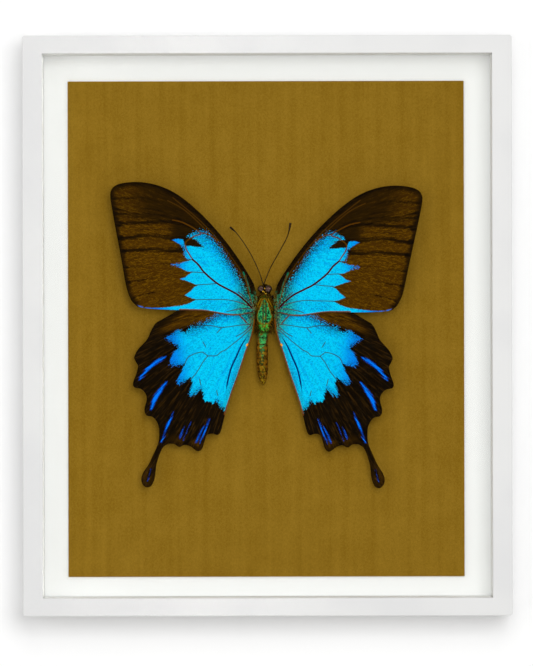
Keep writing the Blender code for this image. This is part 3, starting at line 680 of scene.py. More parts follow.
# %% Hindwing drawing
HINDWING = {
    "outline": [
        (3.8, 1.5), (6, 3.2), (14, 4.6), (24, 4.4), (31, 2.6), (36, -0.6), (40, -2.9), (42.6, -4.6),
        (44.4, -7.8), (45.8, -10.8), (49.2, -14.6), (50.7, -17.6), (50.1, -19.4), (49.3, -21.2),
        (49.9, -24.2), (51.1, -27.6), (50.6, -29.4), (48.2, -30), (46.4, -31.6), (45.7, -34), (46.6, -38),
        (45.8, -40.3), (43.2, -41.1), (41.3, -43.8), (40.8, -47.2), (41.2, -51.2), (43.2, -55.9),
        (44.9, -59.5), (46.9, -62.6), (47.7, -65), (47.2, -67.2), (45.6, -68.5), (43.7, -67.7),
        (42.5, -64.9), (42.1, -62), (41.7, -59), (40.5, -55.3), (39.2, -52.7), (37.2, -51.4), (34.9, -51.5),
        (33, -52.6), (30.9, -51.8), (28.6, -52.4), (26, -54.2), (24.2, -53.5), (23.1, -50.4), (22.2, -48),
        (20.2, -47.3), (18, -47.8), (16.8, -46.4), (15.5, -41.4), (13.7, -35.2), (11.95, -30), (10.15, -25),
        (8.5, -20), (6.8, -14.8), (5.2, -10.4), (4.2, -7), (3.7, -3),
    ],
    "patch": [
        (2.5, 1), (12, 1.2), (17, 0.2), (20, -2), (24, -4.4), (28, -5.6), (29.5, -6.8), (31, -8),
        (32.5, -7.4), (34, -7.2), (36, -8.5), (38.5, -10.2), (36.5, -11.3), (35, -12.5), (33.5, -14),
        (35, -15.5), (37, -18.5), (36.7, -20.3), (35.5, -21), (33, -20.6), (31, -20.5), (32, -23),
        (33.5, -25.5), (34.3, -27.7), (33, -28.2), (31, -27), (28.5, -25.5), (28, -28), (29.2, -31),
        (29, -32.5), (27.5, -32.3), (25.5, -30.5), (24.8, -29.8), (24, -31.5), (23.8, -33.5), (23, -35),
        (21, -34.8), (20, -35.5), (18.5, -34.3), (17.8, -35.3), (17, -37), (15.5, -37.8), (15.1, -39.8),
        (13.8, -38.5), (9, -24), (4.4, -12), (2.4, -5),
    ],
    "dusty": [[(4.8, -0.5), (12, 0.6), (17, -0.4), (21, -2.6), (25, -4.8), (28, -5.8)]],
    "dusky": [
        [(29.5, -7), (33, -8), (36, -9.5), (38.5, -10.6)], [(34, -13.5), (36, -12)],
        [(5, -6), (6, -10), (13, -32)], [(37, -20.5), (33, -20.8)], [(34.3, -27.9), (31, -27)],
        [(29, -32.6), (25, -30)], [(15, -39), (18, -35)],
    ],
    "lines": [
        [(27, -2.8), (34, -3.5), (40, -6.4), (44, -11)], [(24, -1.8), (32, -1.4), (37, -3.4), (42, -7)],
    ],
    "rusty": [[(9.8, -0.9), (8.2, -2.6), (6.7, -4.2)]],
    "hem": [
        [(3.7, -3), (4.2, -7), (5.2, -10.4), (6.8, -14.8), (8.5, -20), (10.15, -25), (11.95, -30),
        (13.7, -35.2), (15.1, -39.8)],
    ],
    "faint": [
        [(18.4, -31.4), (20, -36), (22.5, -42), (24, -46)], [(26, -31), (33, -43)], [(33, -31), (38, -40)],
    ],
    "thin": [
        [(5.5, -4.6), (10, -5), (16.6, -5.9), (20, -5.3), (25, -5), (27, -5.3)], [(16.6, -5.9), (18.5, -8)],
        [(24, -11.5), (22.8, -13.5)], [(24, -15.5), (22.3, -16.8)],
        [(24, -15.5), (26, -15.8), (28.5, -16.8), (30, -18), (31.2, -20.8)],
        [(22, -17), (24, -19.6), (26, -23), (28.4, -26)], [(25.2, -26), (24.6, -28.5)],
        [(18.5, -30.5), (18, -32.5)], [(22, -17), (20.5, -17), (18.5, -16.8), (17, -15.5), (15, -14.5),
        (12.5, -12.5), (10, -10.5), (5.5, -6.5)], [(5.3, -5), (8, -7.6), (11, -9.3)],
    ],
    "band": [
        [(28, -5.5), (36, -8), (46.5, -13.6)], [(22.5, -11.3), (32, -14), (41, -17.2), (47.8, -20.6)],
        [(31.2, -20.8), (39, -26.6), (46.2, -32.8)], [(28.5, -26), (35, -35), (41.8, -42.6)],
        [(18.5, -16.6), (24.6, -29.6), (32, -41), (41, -53), (45.2, -66.4)],
        [(12, -12), (19, -33), (24.5, -45), (30.6, -51)], [(14.5, -34), (17.5, -38), (21.8, -46.6)],
    ],
    "fold": [
        [(5, -6.6), (6.5, -9), (9, -13), (11, -17.5), (12.8, -21.5), (14, -26), (14.8, -31), (14.5, -34)],
    ],
    "streaks": [
        (1.6, [(38.4, -17.4), (42, -19.5), (45, -22), (48.7, -26.2)]),
        (1.65, [(38, -27.2), (40, -30), (42, -32.8), (43, -35), (44, -38)]),
        (1.15, [(35.3, -39), (37, -43), (38.3, -46), (40, -50.7)]), (0.7, [(30.8, -44.2), (32.8, -49.2)]),
        (0.55, [(28.4, -42.8), (31.5, -50)]), (0.7, [(21.2, -41.5), (23, -46), (24.9, -51.2)]),
        (0.95, [(23.5, -44.5), (25, -47.5), (26.3, -51)]), (0.4, [(43.8, -61), (45.3, -66)]),
    ],
}
print("hindwing", len(HINDWING["streaks"]), "blue streaks")

# %% [markdown]
# ## Wing colours from distances
#
# A wing's colours are layers of tiny scales, so the finish is built the same way, from a few measured
# values at every point: how deep it lies in the blue, how dusty that place is, how dark the ground is, and
# how near the veins are. The shader turns these into colour and breaks every border up with grain as fine
# as a few scales, so the teeth stay ragged however close one looks.

# %% What the wing paint works with
wing_paint = Paint("wing_scales", Specular_IOR_Level=0.04)
patch, dusty, royal, root, spot = wing_paint.measures("patch", "dusty", "royal", "root", "spot")
tone, band, margin, brush, base = wing_paint.measures("tone", "band", "margin", "brush", "base")
red, rusty, thin, faint, hem = wing_paint.measures("red", "rusty", "thin", "faint", "hem")
fold, streak, glint, along, across = wing_paint.measures("fold", "streak", "glint", "along", "across")
here = wing_paint.millimetres()
scales = noise(here, 2.6, 2.0, 0.6)
grains = noise(here, 1.5, 3.0, 0.7)
dots = noise(here, 1.6, 1.0, 0.5)


def streaky(along_share, across_share, bend):
    """Noise that is drawn out along the veins."""
    place = add_node("CombineXYZ", times(along, along_share), times(across, across_share), 0.0)
    return noise(place.outputs[0], 1.0, 2.0, 0.6, bend)


strands, threads, ripples = streaky(0.35, 2.4, 0.5), streaky(0.1, 1.0, 0.3), streaky(0.5, 2.5, 1.5)
print("patterns of the wings", len(wing_paint.nodes), "nodes")

# %% Brown ground of the wings
wavy = plus(around_half(ripples, 1.6), around_half(threads, 2.0), around_half(grains, 0.8))
shade = step(plus(band, wavy), 0.0, 1.5, 0.25, 1.0)
shade = times(shade, step(frayed(margin, grains, 1.8), 0.4, 2.6, 0.3, 1.0))
light = plus(times(tone, shade), around_half(strands, 0.5), around_half(threads, 0.5))
ground = mix(step(light, 0.0, 0.4), colour(18, 11, 3), colour(42, 25, 0))
ground = over(
    ground,
    (step(light, 0.35, 0.8), 72, 43, 0),
    (step(light, 0.8, 1.3), 94, 60, 0),
    (times(step(ripples, 0.53, 0.62), step(light, 0.3, 0.95), 0.72), 124, 86, 6),
    (times(step(ripples, 0.45, 0.36), step(light, 0.2, 0.7), 0.32), 44, 24, 0),
    (times(step(strands, 0.52, 0.66), brush, 0.24), 74, 48, 12),
    (times(step(faint, 0.3, 0.1), 0.5), 100, 62, 6),
    (times(step(glint, 0.5, 0.15), step(scales, 0.36, 0.5), 0.9), 4, 120, 88),
)
print("with the brown ground", len(wing_paint.nodes), "nodes")

# %% Blue field
tint = plus(around_half(grains, 2.4), around_half(threads, 2.0), around_half(strands, 1.4), times(dusty, 0.5))
blue = mix(step(tint, -0.2, 1.0), colour(0, 220, 265), colour(0, 158, 246))
blue = over(blue, (step(royal, 0.0, 1.0), 0, 130, 250))
teal = mix(step(grains, 0.42, 0.56), colour(0, 46, 32), colour(44, 188, 146))
blue = mix(times(root, 0.95), blue, teal)
speckled = plus(times(dusty, 0.9), times(root, 0.3), 0.25)
blue = over(blue, (times(step(scales, 0.5, 0.4), speckled, 0.62), 10, 58, 84))
vein = mix(step(root, 0.1, 0.7), colour(52, 62, 48), colour(86, 34, 8))
blue = mix(times(step(thin, 0.24, 0.1), 0.85), blue, vein)
blue = over(
    blue,
    (step(fold, 0.44, 0.22), 0, 20, 104),
    (times(step(dots, 0.46, 0.36), 0.36), 0, 104, 176),
)
dim = times(dusty, step(frayed(patch, grains, 4.0), 3.0, 0.2))
blue = over(blue, (times(dim, step(scales, 0.62, 0.46), 0.85), 6, 58, 58))
print("with the blue field", len(wing_paint.nodes), "nodes")

# %% Both together, with streaks, rusty veins and the orange spot
ragged = plus(around_half(scales, 0.7), times(around_half(strands, 1.6), brush))
thinning = times(plus(around_half(grains, 5.0), around_half(scales, 7.0)), dusty)
is_blue = step(plus(patch, ragged, thinning), -0.15, 0.25)
surface = mix(is_blue, ground, blue)
flash = plus(streak, around_half(scales, 1.0), around_half(strands, 1.8))
lit = mix(step(flash, 0.1, 0.5), colour(0, 56, 160), colour(0, 124, 255))
surface = mix(step(flash, -0.15, 0.15), surface, lit)
skirt = mix(step(scales, 0.4, 0.55), colour(20, 12, 4), colour(116, 92, 24))
skirt = over(skirt, (step(grains, 0.52, 0.6), 10, 110, 74))
surface = mix(times(base, step(grains, 0.3, 0.5)), surface, skirt)
rust = mix(is_blue, colour(92, 54, 2), colour(104, 48, 0))
surface = mix(times(step(frayed(rusty, grains, 0.2), 0.36, 0.16), 0.92), surface, rust)
surface = over(
    surface,
    (times(step(frayed(hem, grains, 0.3), 0.7, 0.45), 0.95), 122, 66, 0),
    (step(red, 0.4, 0.28), 66, 2, 0),
    (step(frayed(spot, scales, 0.6), -0.05, 0.15), 255, 168, 36),
)
wing_paint.give(Base_Color=surface, Roughness=step(scales, 0.3, 0.7, 0.62, 0.5))
wing_paint.relief(plus(strands, times(scales, 0.5)), 0.06, 0.6)
print("wing paint has", len(wing_paint.nodes), "nodes")

# %% [markdown]
# ## Make the wings
#
# A real wing is two films with tubes, the veins, between them. Its sheet is a fine net of points inside
# the outline, raised along every vein and sagging a little between them. It rises outward from the thorax
# and its tip droops, as on a setting board. An insect is never set quite evenly, so each wing has its own
# small turn about its root, its own shift and its own stretch.

# %% Net of a wing
VEIN_KINDS = ("red", "rusty", "faint", "thin", "band", "lines", "fold", "hem", "glint")
WING_ROOT = np.array((4.0, 3.0))
NET_STEP = 0.36
WING_FILM = 0.08
VEIN_RIDGE = 0.13
VEIN_HALF_WIDTH = 0.45
SAG = 0.12
RISE = 0.045
DROOP = 0.0004
SPOT_PLACE = (6.7, -12.6)
SPOT_RADIUS = 0.72
SPOT_SLIMNESS = 1.9


def net_inside(outline, lines, spacing):
    """Points and triangles of a fine net that fills an outline and follows the lines in it."""
    low, high = outline.min(axis=0), outline.max(axis=0)
    rows = np.arange(low[1], high[1], spacing * math.sqrt(3) / 2)
    columns = np.arange(low[0], high[0], spacing)
    net = np.array([(x + spacing / 2 * (number % 2), y) for number, y in enumerate(rows) for x in columns])
    net = net[depth_inside(net, outline) > spacing * 0.4]
    net = net[distance(net, lines) > spacing * 0.45]
    points = [Vector(point) for point in outline]
    edges = []
    for line in lines:
        within = line[depth_inside(line, outline) > spacing * 0.4]
        edges += [(index, index + 1) for index in range(len(points), len(points) + len(within) - 1)]
        points += [Vector(point) for point in within]
    points += [Vector(point) for point in net]
    flats, _, faces, *_ = delaunay_2d_cdt(points, edges, [list(range(len(outline)))], 1, 0.01)
    return np.array(flats), faces


print("net spacing", NET_STEP, "mm")

# %% Values at every point of a wing
def forewing_values(points, values):
    """How light the brown ground is, and where the blue turns royal blue or teal."""
    out, up = points.T
    light = ease(out - 0.9 * np.clip(up - 19, 0, 11), 23, 31)
    light *= 1 - ease(up, 33, 38) * (0.85 - 0.4 * ease(out, 42, 54))
    values["tone"] = 0.28 + 0.62 * light
    values["hem"] += 0.08
    edge = distance(points, [smooth(FOREWING["outline"][:22])])
    values["margin"] = edge - 1.6 * ease(values["band"], 1.6, 0) * ease(edge, 5, 1)
    lower = ease(up, 4.2, 2.6)
    values["royal"] = ease(out, 25, 37) * (1 - lower) * 0.8 + ease(out, 31, 46) * lower
    values["root"] = ease(out + 0.25 * up, 16, 8)
    values["along"] = np.hypot(out + 12, up - 24)
    values["across"] = 0.9 * np.degrees(np.arctan2(up - 24, out + 12))
    values["brush"] = np.full(len(points), 0.3)
    values["base"] = ease(out + 0.2 * np.abs(up - 2), 6.4, 4.0)


def hindwing_values(points, values):
    """The same for the hindwing, whose fold narrows to its ends and whose faint veins are finer."""
    out, up = points.T
    brown = ease(up + 0.25 * out, -0.5, 4.5) * ease(out, 47, 36)
    brown *= 0.35 + 0.65 * ease(values["margin"], 0.8, 4)
    values["tone"] = 0.06 + 0.8 * brown + 0.85 * ease(up, -46, -54)
    values["fold"] += 0.25 * (ease(up, -15, -7) + ease(up, -27, -31))
    values["faint"] += 0.1
    values["royal"] = ease(out - 0.15 * up, 27, 42)
    beside_hem = ease(values["hem"], 3.0, 1.2) * ease(up, -5, -9)
    values["root"] = np.maximum(ease(out - 0.35 * up, 14, 6), 0.25 * beside_hem)
    values["along"] = 0.4 * np.hypot(out - 1, up - 8)
    values["across"] = 0.7 * np.degrees(np.arctan2(up - 8, out - 1))
    values["brush"] = np.full(len(points), 2.0)
    values["base"] = ease(out - 0.1 * up, 7.4, 4.6)


def streak_depth(points, streaks):
    """How deep each point lies in the nearest streak, which swells in its middle and tapers to its ends."""
    deepest = np.full(len(points), -9.0)
    for width, line in streaks:
        middle = smooth(line, 12)
        swell = np.sin(np.linspace(0.12, 2.9, len(middle))) ** 0.6
        for centre, reach in zip(middle, swell * width / 2):
            gap = points - centre
            deepest = np.maximum(deepest, reach - np.hypot(gap[:, 0], gap[:, 1]))
    return deepest


def wing_values(points, outline, drawing, veins, more_values):
    """Everything that the wing paint needs to know about each point."""
    values = {kind: distance(points, lines) for kind, lines in veins.items()}
    values["band"] = np.minimum(values["band"], 0.7 + values.pop("lines"))
    values["margin"] = distance(points, [outline], closed=True)
    values["patch"] = depth_inside(points, drawing["patch"])
    dusky = 0.42 * ease(distance(points, drawing["dusky"]), 2.4, 0.4)
    values["dusty"] = np.maximum(ease(distance(points, drawing["dusty"]), 6.0, 0.3), dusky)
    values["streak"] = streak_depth(points, drawing.get("streaks", []))
    spot_gap = (points - SPOT_PLACE) @ np.array(((0.87, 0.5), (-0.5, 0.87))).T
    values["spot"] = SPOT_RADIUS - np.hypot(spot_gap[:, 0] * SPOT_SLIMNESS, spot_gap[:, 1])
    more_values(points, values)
    return values


print("orange spot", round(math.pi * SPOT_RADIUS**2 / SPOT_SLIMNESS, 2), "square mm")

# %% Four wings
def wing_sheet(name, drawing, more_values, side, turn, shift, stretch, lift):
    outline = smooth(drawing["outline"], 6, closed=True)
    veins = {kind: [smooth(line) for line in drawing.get(kind, [])] for kind in VEIN_KINDS}
    tubes = veins["red"] + veins["thin"] + veins["band"]
    points, faces = net_inside(outline, tubes, NET_STEP)
    from_tube = distance(points, tubes)
    ridge = VEIN_RIDGE * np.clip(1 - from_tube / VEIN_HALF_WIDTH, 0, 1)
    height = RISE * points[:, 0] - DROOP * points[:, 1] ** 2 + ridge - SAG * ease(from_tube, 0.3, 3.0)
    turn = math.radians(turn)
    spin = np.array(((math.cos(turn), -math.sin(turn)), (math.sin(turn), math.cos(turn))))
    placed = (points - WING_ROOT) * (stretch, 1) @ spin.T + WING_ROOT + (shift, 0)
    corners = np.column_stack((
        THORAX_X + side * placed[:, 0], -(CARD_FRONT + lift + height), THORAX_Z + placed[:, 1],
    )) * MM
    mesh = new_mesh(name, corners.tolist(), [face if side > 0 else face[::-1] for face in faces])
    write_measures(mesh, wing_values(points, outline, drawing, veins, more_values))
    return mesh


for name, drawing, more_values, side, turn, shift, stretch, lift in (
    ("forewing_left", FOREWING, forewing_values, -1, 0.3, -0.35, 1.01, 6.8),
    ("forewing_right", FOREWING, forewing_values, 1, -1.7, 0.3, 1.0, 6.8),
    ("hindwing_left", HINDWING, hindwing_values, -1, 0.45, 0, 1.0, 6.0),
    ("hindwing_right", HINDWING, hindwing_values, 1, -0.2, 0, 0.985, 6.0),
):
    mesh = wing_sheet(name, drawing, more_values, side, turn, shift, stretch, lift)
    wing = add_piece(name + "_film", mesh, wing_paint, "blue_wing", name)
    film = wing.modifiers.new("film", "SOLIDIFY")
    film.thickness = WING_FILM * MM
    film.offset = 0.0
    print(name, len(mesh.polygons), "triangles on one side")

# %% [markdown]
# ## The body
#
# Head, thorax and abdomen are one skin, drawn as a stack of ovals: for each height, half the width, half
# the depth and how far it leans to the side. The abdomen is eight rings, each a little wider in its middle
# than at its seams. Smooth lines through the ovals give the rounded shape of a real insect.

# %% Body skin
OVALS = [
    (11.1, 0.5, 0.4, 0.3), (10.6, 1.2, 1.0, 0.3), (9.8, 1.85, 1.6, 0.3), (8.8, 2.15, 1.9, 0.3),
    (7.8, 2.0, 1.8, 0.25), (6.9, 1.7, 1.75, 0.2), (6.0, 2.3, 2.6, 0.05), (4.4, 3.0, 3.3, 0.0),
    (1.6, 3.4, 3.7, 0.0), (-1.4, 3.4, 3.7, 0.0), (-4.4, 2.9, 3.3, -0.1), (-6.6, 2.25, 2.5, -0.3),
    (-7.3, 2.1, 2.2, -0.35),
]
BODY_SIDES = 56
ABDOMEN_TOP, ABDOMEN_TIP, ABDOMEN_RINGS = -7.3, -28.3, 8
ABDOMEN_HALF, RING_STEPS, SEAM_DEPTH = 2.28, 8, 0.08
THORAX_HEIGHT = 4.8
SHIELD_SIDE = [
    (0.5, 5.5), (1.0, 4.9), (1.35, 3.9), (1.8, 2.2), (2.45, 0.4), (2.9, -1.2), (2.85, -2.6), (2.2, -3.8),
    (1.0, -4.5),
]
SHIELD = SHIELD_SIDE + [(-x, z) for x, z in reversed(SHIELD_SIDE)]
FLANK_LINES = [smooth([(1.4, 5.4), (2.1, 4.0), (2.9, 2.4), (3.4, 0.6)])]
BROW_SPOTS = ((-0.6, 8.3, 0.3), (0.2, 9.4, 0.3), (0.45, 7.1, 0.5), (0.0, 8.0, 0.2))


def body_ovals():
    ovals = list(smooth(OVALS, 6))
    steps = ABDOMEN_RINGS * RING_STEPS
    for number in range(1, steps + 1):
        share = number / steps
        swell = 0.86 + 0.14 * min(1.0, share / 0.3)
        taper = (1 - (max(0.0, share - 0.5) / 0.5) ** 2.6) ** 0.6
        seam = 1 - SEAM_DEPTH * abs(math.cos(math.pi * share * ABDOMEN_RINGS)) ** 6
        half = ABDOMEN_HALF * swell * taper * seam + 0.05
        lean = np.interp(share, (0, 0.2, 0.65, 1), (-0.35, -0.95, -0.95, -0.6))
        ovals.append((ABDOMEN_TOP + share * (ABDOMEN_TIP - ABDOMEN_TOP), half, half * 1.03, lean))
    return np.array(ovals)


def body_point(oval, angle):
    """Out, up and depth over the thorax's middle, for a direction round an oval."""
    up, half, deep, lean = oval
    return np.array((lean + half * math.cos(angle), up, deep * math.sin(angle)))


def body_place(point):
    """Where a point of the body lies in the model."""
    out, up, depth = point
    return Vector((THORAX_X + out, -(CARD_FRONT + THORAX_HEIGHT + depth), THORAX_Z + up)) * MM


def body_values(points):
    """What the body's finish needs to know about each point."""
    out, up, depth = np.array(points).T
    flat = np.column_stack((np.abs(out - np.interp(up, ovals[::-1, 0], ovals[::-1, 3])), up))
    spots = [size - np.hypot(out - x, up - z) for x, z, size in BROW_SPOTS]
    return {
        "shield": np.where(depth > 0, depth_inside(flat, SHIELD), -9.0),
        "up": up,
        "out": flat[:, 0],
        "flank": np.where(depth > 0, distance(flat, FLANK_LINES), 9.0),
        "brow": np.max(spots, axis=0),
    }


ovals = body_ovals()
points = [body_point(oval, 2 * math.pi * side / BODY_SIDES) for oval in ovals for side in range(BODY_SIDES)]
faces = []
for upper in range(0, len(points) - BODY_SIDES, BODY_SIDES):
    lower = upper + BODY_SIDES
    for side in range(BODY_SIDES):
        after = (side + 1) % BODY_SIDES
        faces.append((upper + side, lower + side, lower + after, upper + after))
faces.append(tuple(range(BODY_SIDES)))
faces.append(tuple(range(len(points) - 1, len(points) - BODY_SIDES - 1, -1)))
skin = new_mesh("body_skin", [body_place(point) for point in points], faces)
write_measures(skin, body_values(points))
print("body skin", len(ovals), "ovals of", BODY_SIDES, "points")

# %% [markdown]
# ## What the body wears
#
# On its back the thorax carries a pear-shaped shield of green scales with a gold rim and two dotted dark
# lines. The first abdomen rings are sea green and the rest brown, sprinkled with green and gold. The same
# measured values place these fields here, and noise breaks them up into scales.

# %% Abdomen colours
body_paint = Paint("body_scales", Specular_IOR_Level=0.06)
shield, up, out, brow, flank = body_paint.measures("shield", "up", "out", "brow", "flank")
here = body_paint.millimetres()
specks = noise(here, 1.5, 2.0, 0.6)
blots = noise(here, 0.8, 3.0, 0.7)
hairy = noise(body_paint.millimetres((2.2, 2.2, 0.5)), 1.0, 3.0, 0.7)

belly = mix(step(blots, 0.4, 0.6), colour(64, 34, 0), colour(132, 88, 10))
dotted = step(frayed(out, blots, 3.0), 1.5, 0.6)
belly = over(
    belly,
    (times(dotted, step(specks, 0.52, 0.6), 0.8), 156, 132, 20),
    (times(dotted, step(specks, 0.42, 0.34), 0.8), 40, 112, 40),
)
sea = mix(step(specks, 0.4, 0.58), colour(10, 60, 30), colour(70, 180, 92))
sea = over(sea, (times(step(blots, 0.53, 0.6), 0.85), 124, 84, 10))
wedge = plus(out, times(calculate("SUBTRACT", -8.0, up), 0.17))
belly = mix(step(frayed(frayed(wedge, specks, 3.0), blots, 3.0), 2.1, 1.6), belly, sea)
ring_size = (ABDOMEN_TOP - ABDOMEN_TIP) / ABDOMEN_RINGS
ring_turn = times(calculate("SUBTRACT", up, ABDOMEN_TOP), math.pi / ring_size)
ring_gap = calculate("ABSOLUTE", calculate("SINE", ring_turn))
belly = over(
    belly,
    (times(step(frayed(ring_gap, blots, 0.9), 0.4, 0.1), 0.6), 34, 18, 0),
    (times(step(frayed(out, blots, 1.0), 2.1, 2.8), 0.9), 26, 14, 0),
)
print("abdomen rings", round(ring_size, 2), "mm long")

# %% Thorax and head colours
green = mix(step(specks, 0.4, 0.6), colour(0, 56, 34), colour(54, 196, 110))
green = over(
    green,
    (times(step(blots, 0.54, 0.62), 0.85), 116, 132, 8),
    (times(step(blots, 0.44, 0.36), 0.7), 20, 50, 20),
)
midline = step(calculate("ABSOLUTE", calculate("SUBTRACT", out, 0.55)), 0.5, 0.2)
green = over(
    green,
    (times(midline, step(specks, 0.45, 0.54), 0.9), 84, 24, 6),
    (times(step(out, 0.9, 0.2), step(up, -1.5, 1.5), 0.4), 20, 44, 14),
)
edge = frayed(frayed(shield, specks, 1.3), blots, 1.0)
gold_rim = times(step(edge, -0.3, -0.1), step(edge, 0.3, 0.12), 0.85)
tuft = times(step(up, -4.4, -5.0), step(up, -8.6, -7.8), step(frayed(out, blots, 3.0), 2.6, 1.9))
waist = times(step(frayed(up, specks, 3.0), -8.4, -7.9), step(frayed(up, specks, 2.0), -6.9, -7.4), 0.8)
collar = times(step(up, 5.2, 5.8), step(up, 7.6, 7.0), step(specks, 0.5, 0.58), 0.9)

fur = mix(step(hairy, 0.42, 0.6), colour(24, 14, 0), colour(96, 66, 8))
coat = mix(step(frayed(up, specks, 4.0), -7.4, -8.2), fur, belly)
coat = mix(step(edge, 0.1, 0.3), coat, green)
coat = over(
    coat,
    (gold_rim, 150, 108, 0),
    (times(step(frayed(flank, specks, 0.3), 0.36, 0.16), 0.9), 154, 116, 2),
    (times(tuft, step(specks, 0.42, 0.5), 0.95), 66, 204, 66),
    (times(tuft, step(blots, 0.54, 0.62), 0.9), 170, 124, 22),
    (waist, 24, 14, 0),
    (collar, 44, 150, 40),
    (times(step(up, 7.0, 7.4), 0.7), 16, 10, 2),
    (step(frayed(brow, specks, 0.2), -0.05, 0.08), 228, 176, 44),
)
body_paint.give(Base_Color=coat, Roughness=step(specks, 0.3, 0.7, 0.7, 0.5))
body_paint.relief(plus(specks, hairy), 0.12, 0.8)
add_piece("body_skin", skin, body_paint, "insect_body", "body")
print("body paint has", len(body_paint.nodes), "nodes")

# %% [markdown]
# ## Eyes, antennae and legs
#
# Eyes are large and round with a dull shine, and each is painted darker towards its outline as seen from the
# front, a painted shade on the dome. Antennae are jointed threads that thicken into clubs, and the six legs
# of a dried specimen are folded under the thorax. Threads and legs are tubes swept along a smooth line with
# a radius at each point.

# %% Tubes
def tube(line, radii, sides=10):
    """Points and faces of a round tube along a line, in out, up and depth."""
    line, radii = np.array(line, dtype=float), np.array(radii, dtype=float)
    corners, faces = [], []
    for index, (point, radius) in enumerate(zip(line, radii)):
        along = line[min(index + 1, len(line) - 1)] - line[max(index - 1, 0)]
        along /= np.linalg.norm(along)
        first = np.cross(along, (0.3, 0.2, 0.93))
        first /= np.linalg.norm(first)
        second = np.cross(along, first)
        for side in range(sides):
            turn = 2 * math.pi * side / sides
            corners.append(point + radius * (math.cos(turn) * first + math.sin(turn) * second))
    for index in range(len(line) - 1):
        for side in range(sides):
            after = (side + 1) % sides
            low, high = index * sides, (index + 1) * sides
            faces.append((low + side, low + after, high + after, high + side))
    faces.append(tuple(range(sides - 1, -1, -1)))
    faces.append(tuple(range(len(corners) - sides, len(corners))))
    return corners, faces


def joined_mesh(name, solids):
    """One mesh from several lists of points and faces."""
    corners, faces = [], []
    for more_corners, more_faces in solids:
        faces += [tuple(index + len(corners) for index in face) for face in more_faces]
        corners += more_corners
    return new_mesh(name, [body_place(corner) for corner in corners], faces, closed=True)


print("a short tube has", len(tube([(0, 0, 0), (0, 1, 0)], [1, 1])[0]), "points")

# %% Antennae and legs
ANTENNAE = {
    "left": [(-0.5, 10.9, 0.9), (-2.3, 16.4, 1.8), (-5.8, 23.6, 2.4), (-10.2, 30.2, 2.8), (-13.4, 33.4, 2.8)],
    "right": [(-0.3, 10.9, 0.9), (2.2, 17.2, 1.8), (6.2, 24.4, 2.4), (9.0, 29.8, 2.8), (10.2, 35.0, 2.8)],
}
THREAD_RADIUS = 0.19
LEG_ROOTS = ((4.2, 2.6, 1), (0.8, 3.4, -1), (-2.6, 3.6, -1))
LEG_FLOOR = 0.62 - THORAX_HEIGHT

thread_paint = Paint("antenna_thread", Specular_IOR_Level=0.3, Roughness=0.6)
mottled = noise(thread_paint.millimetres(), 2.0, 2.0)
thread_paint.give(Base_Color=mix(step(mottled, 0.4, 0.6), colour(26, 16, 6), colour(62, 42, 16)))
thread_paint.relief(mottled, 0.04, 0.6)
for side, path in ANTENNAE.items():
    line = smooth(path, 30)
    share = np.linspace(0, 1, len(line))
    club = 0.3 * ease(share, 0.78, 0.95) * (1 - 0.5 * ease(share, 0.97, 1.0))
    joints = 1 - 0.12 * np.abs(np.sin(np.arange(len(line)) * math.pi / 3)) ** 4
    radii = (THREAD_RADIUS + 0.05 * ease(share, 0.1, 0) + club) * joints
    name = f"antenna_{side}"
    mesh = joined_mesh(name + "_thread", [tube(line, radii)])
    add_piece(name + "_thread", mesh, thread_paint, "insect_body", name)

legs = []
for side in (-1, 1):
    for up, depth, lean in LEG_ROOTS:
        line = smooth([
            (side * 0.9, up, 1.2 - depth), (side * 1.5, up + 0.6 * lean, -0.1 - depth),
            (side * 3.3, up + 2.2 * lean, LEG_FLOOR + 0.5), (side * 2.4, up - 2.4 * lean, LEG_FLOOR),
            (side * 1.6, up - 4.0, LEG_FLOOR),
        ], 8)
        legs.append(tube(line, np.linspace(0.4, 0.17, len(line))))
add_piece("legs", joined_mesh("legs", legs), thread_paint, "insect_body")
print("antennae and", len(legs), "legs made")

# %% Eyes
EYES = ((-1.35, 9.35, 1.3), (1.4, 9.25, 1.55))
EYE_DEPTH = 0.8

eye_paint = Paint("eye", Specular_IOR_Level=0.6, Roughness=0.3)
facets = noise(eye_paint.millimetres(), 3.0, 2.0)
[eye_edge_shade] = eye_paint.measures("eye_edge_shade")
# The outer ring of each eye, as seen from the front, is painted darker: painted shade.
iris = mix(step(facets, 0.35, 0.65), colour(46, 26, 22), colour(116, 84, 72))
eye_paint.give(Base_Color=over(iris, (step(eye_edge_shade, 0.5, 0.82), 18, 10, 6)))
eye_paint.relief(facets, 0.03, 0.6)
bm = bmesh.new()
for out, up, radius in EYES:
    made = bmesh.ops.create_icosphere(bm, subdivisions=4, radius=radius * MM)
    bmesh.ops.translate(bm, vec=body_place((out, up, EYE_DEPTH)), verts=made["verts"])
eyes = bpy.data.meshes.new("eyes")
bm.to_mesh(eyes)
bm.free()
eyes.shade_smooth()
# Share of the eye's radius from its middle as seen from the front, which places the painted shade at its
# edge.
flat = np.array([(corner.co.x / MM - THORAX_X, corner.co.z / MM - THORAX_Z) for corner in eyes.vertices])
eye_edge_shades = [np.hypot(flat[:, 0] - out, flat[:, 1] - up) / radius for out, up, radius in EYES]
write_measures(eyes, {"eye_edge_shade": np.min(eye_edge_shades, axis=0)})
add_piece("eyes", eyes, eye_paint, "insect_body")
print("eyes", len(eyes.vertices), "points")

# %% [markdown]
# ## Hair
#
# The thorax of a swallowtail is furry. Each hair here is a thin three-sided spike that leaves the skin at
# a slant and bends along the body. Dark and golden ones are mixed, and the shield in the middle of the
# back stays clear of them. A seeded number source puts every hair in the same place each time.

# %% Hair
HAIR_COUNT = 3800
HAIR_DROOP = 0.35
random_numbers = np.random.default_rng(11)


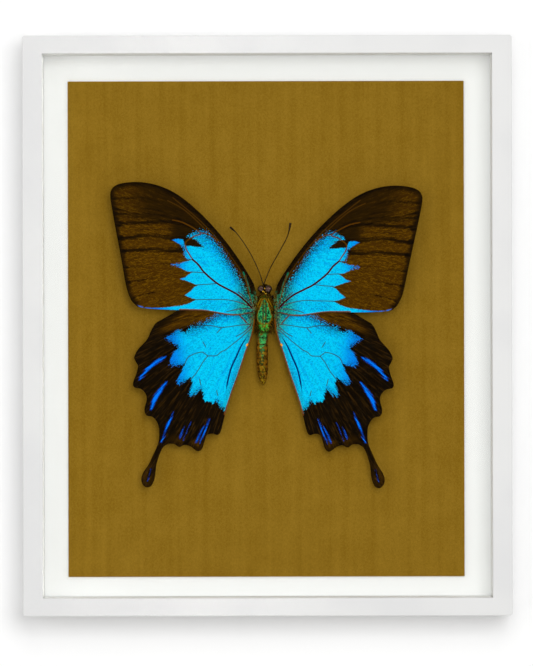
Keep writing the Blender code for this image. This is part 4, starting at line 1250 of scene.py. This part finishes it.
def hair(root_point, direction, length, thickness):
    """A tapering spike on three sides: two rings of points and a tip."""
    direction = direction / np.linalg.norm(direction)
    across = np.cross(direction, (0.2, 0.9, 0.35))
    across /= np.linalg.norm(across)
    other = np.cross(direction, across)
    corners, faces = [], []
    for ring, share in enumerate((0.0, 0.55)):
        middle = root_point + direction * length * share + np.array((0, -HAIR_DROOP * length * share**2, 0))
        radius = thickness * (1 - 0.4 * ring)
        for turn in (0, 2 * math.pi / 3, 4 * math.pi / 3):
            corners.append(middle + radius * (math.cos(turn) * across + math.sin(turn) * other))
    corners.append(root_point + direction * length + np.array((0, -HAIR_DROOP * length, 0)))
    for side in range(3):
        after = (side + 1) % 3
        faces += [(side, after, after + 3, side + 3), (side + 3, after + 3, 6)]
    return corners, faces


hair_paint = Paint("body_hair", Roughness=0.6, Specular_IOR_Level=0.25)
[gold] = hair_paint.measures("gold")
hair_colour = mix(step(gold, 0.0, 0.55), colour(20, 12, 0), colour(88, 58, 4))
hair_paint.give(Base_Color=over(hair_colour, (step(gold, 0.6, 1.0), 172, 128, 10)))

hairs, golds = [], []
table = ovals[(ovals[:, 0] < 7.4) & (ovals[:, 0] > -7.2)]
while len(hairs) < HAIR_COUNT:
    oval = table[random_numbers.integers(len(table))]
    angle = random_numbers.uniform(0, 2 * math.pi)
    point = body_point(oval, angle)
    out, up, on_back = abs(point[0]), point[1], point[2] > 0
    flat = np.array([(out, up)])
    near_flank = math.exp(-(distance(flat, FLANK_LINES)[0] / 0.5) ** 2) if on_back else 0.0
    in_tuft = on_back and -8 < up < -4.6 and out < 1.8
    bare = on_back and depth_inside(flat, SHIELD)[0] > -0.25
    if random_numbers.random() < max(near_flank, 0.75 * in_tuft) or bare:
        continue
    outward = np.array((math.cos(angle), -0.55, math.sin(angle)))
    outward += random_numbers.normal(0, 0.22, 3)
    length = random_numbers.uniform(0.9, 2.0) * (0.5 if oval[0] > 5.5 else 1.0)
    hairs.append(hair(point - outward * 0.05, outward, length, random_numbers.uniform(0.04, 0.07)))
    golds.append(random_numbers.uniform(0, 1.0) ** 1.6)
hair_mesh = joined_mesh("hair", hairs)
write_measures(hair_mesh, {"gold": np.repeat(golds, len(hairs[0][0]))})
add_piece("hair", hair_mesh, hair_paint, "insect_body")
print("hairs", len(hairs), "faces", len(hair_mesh.polygons))
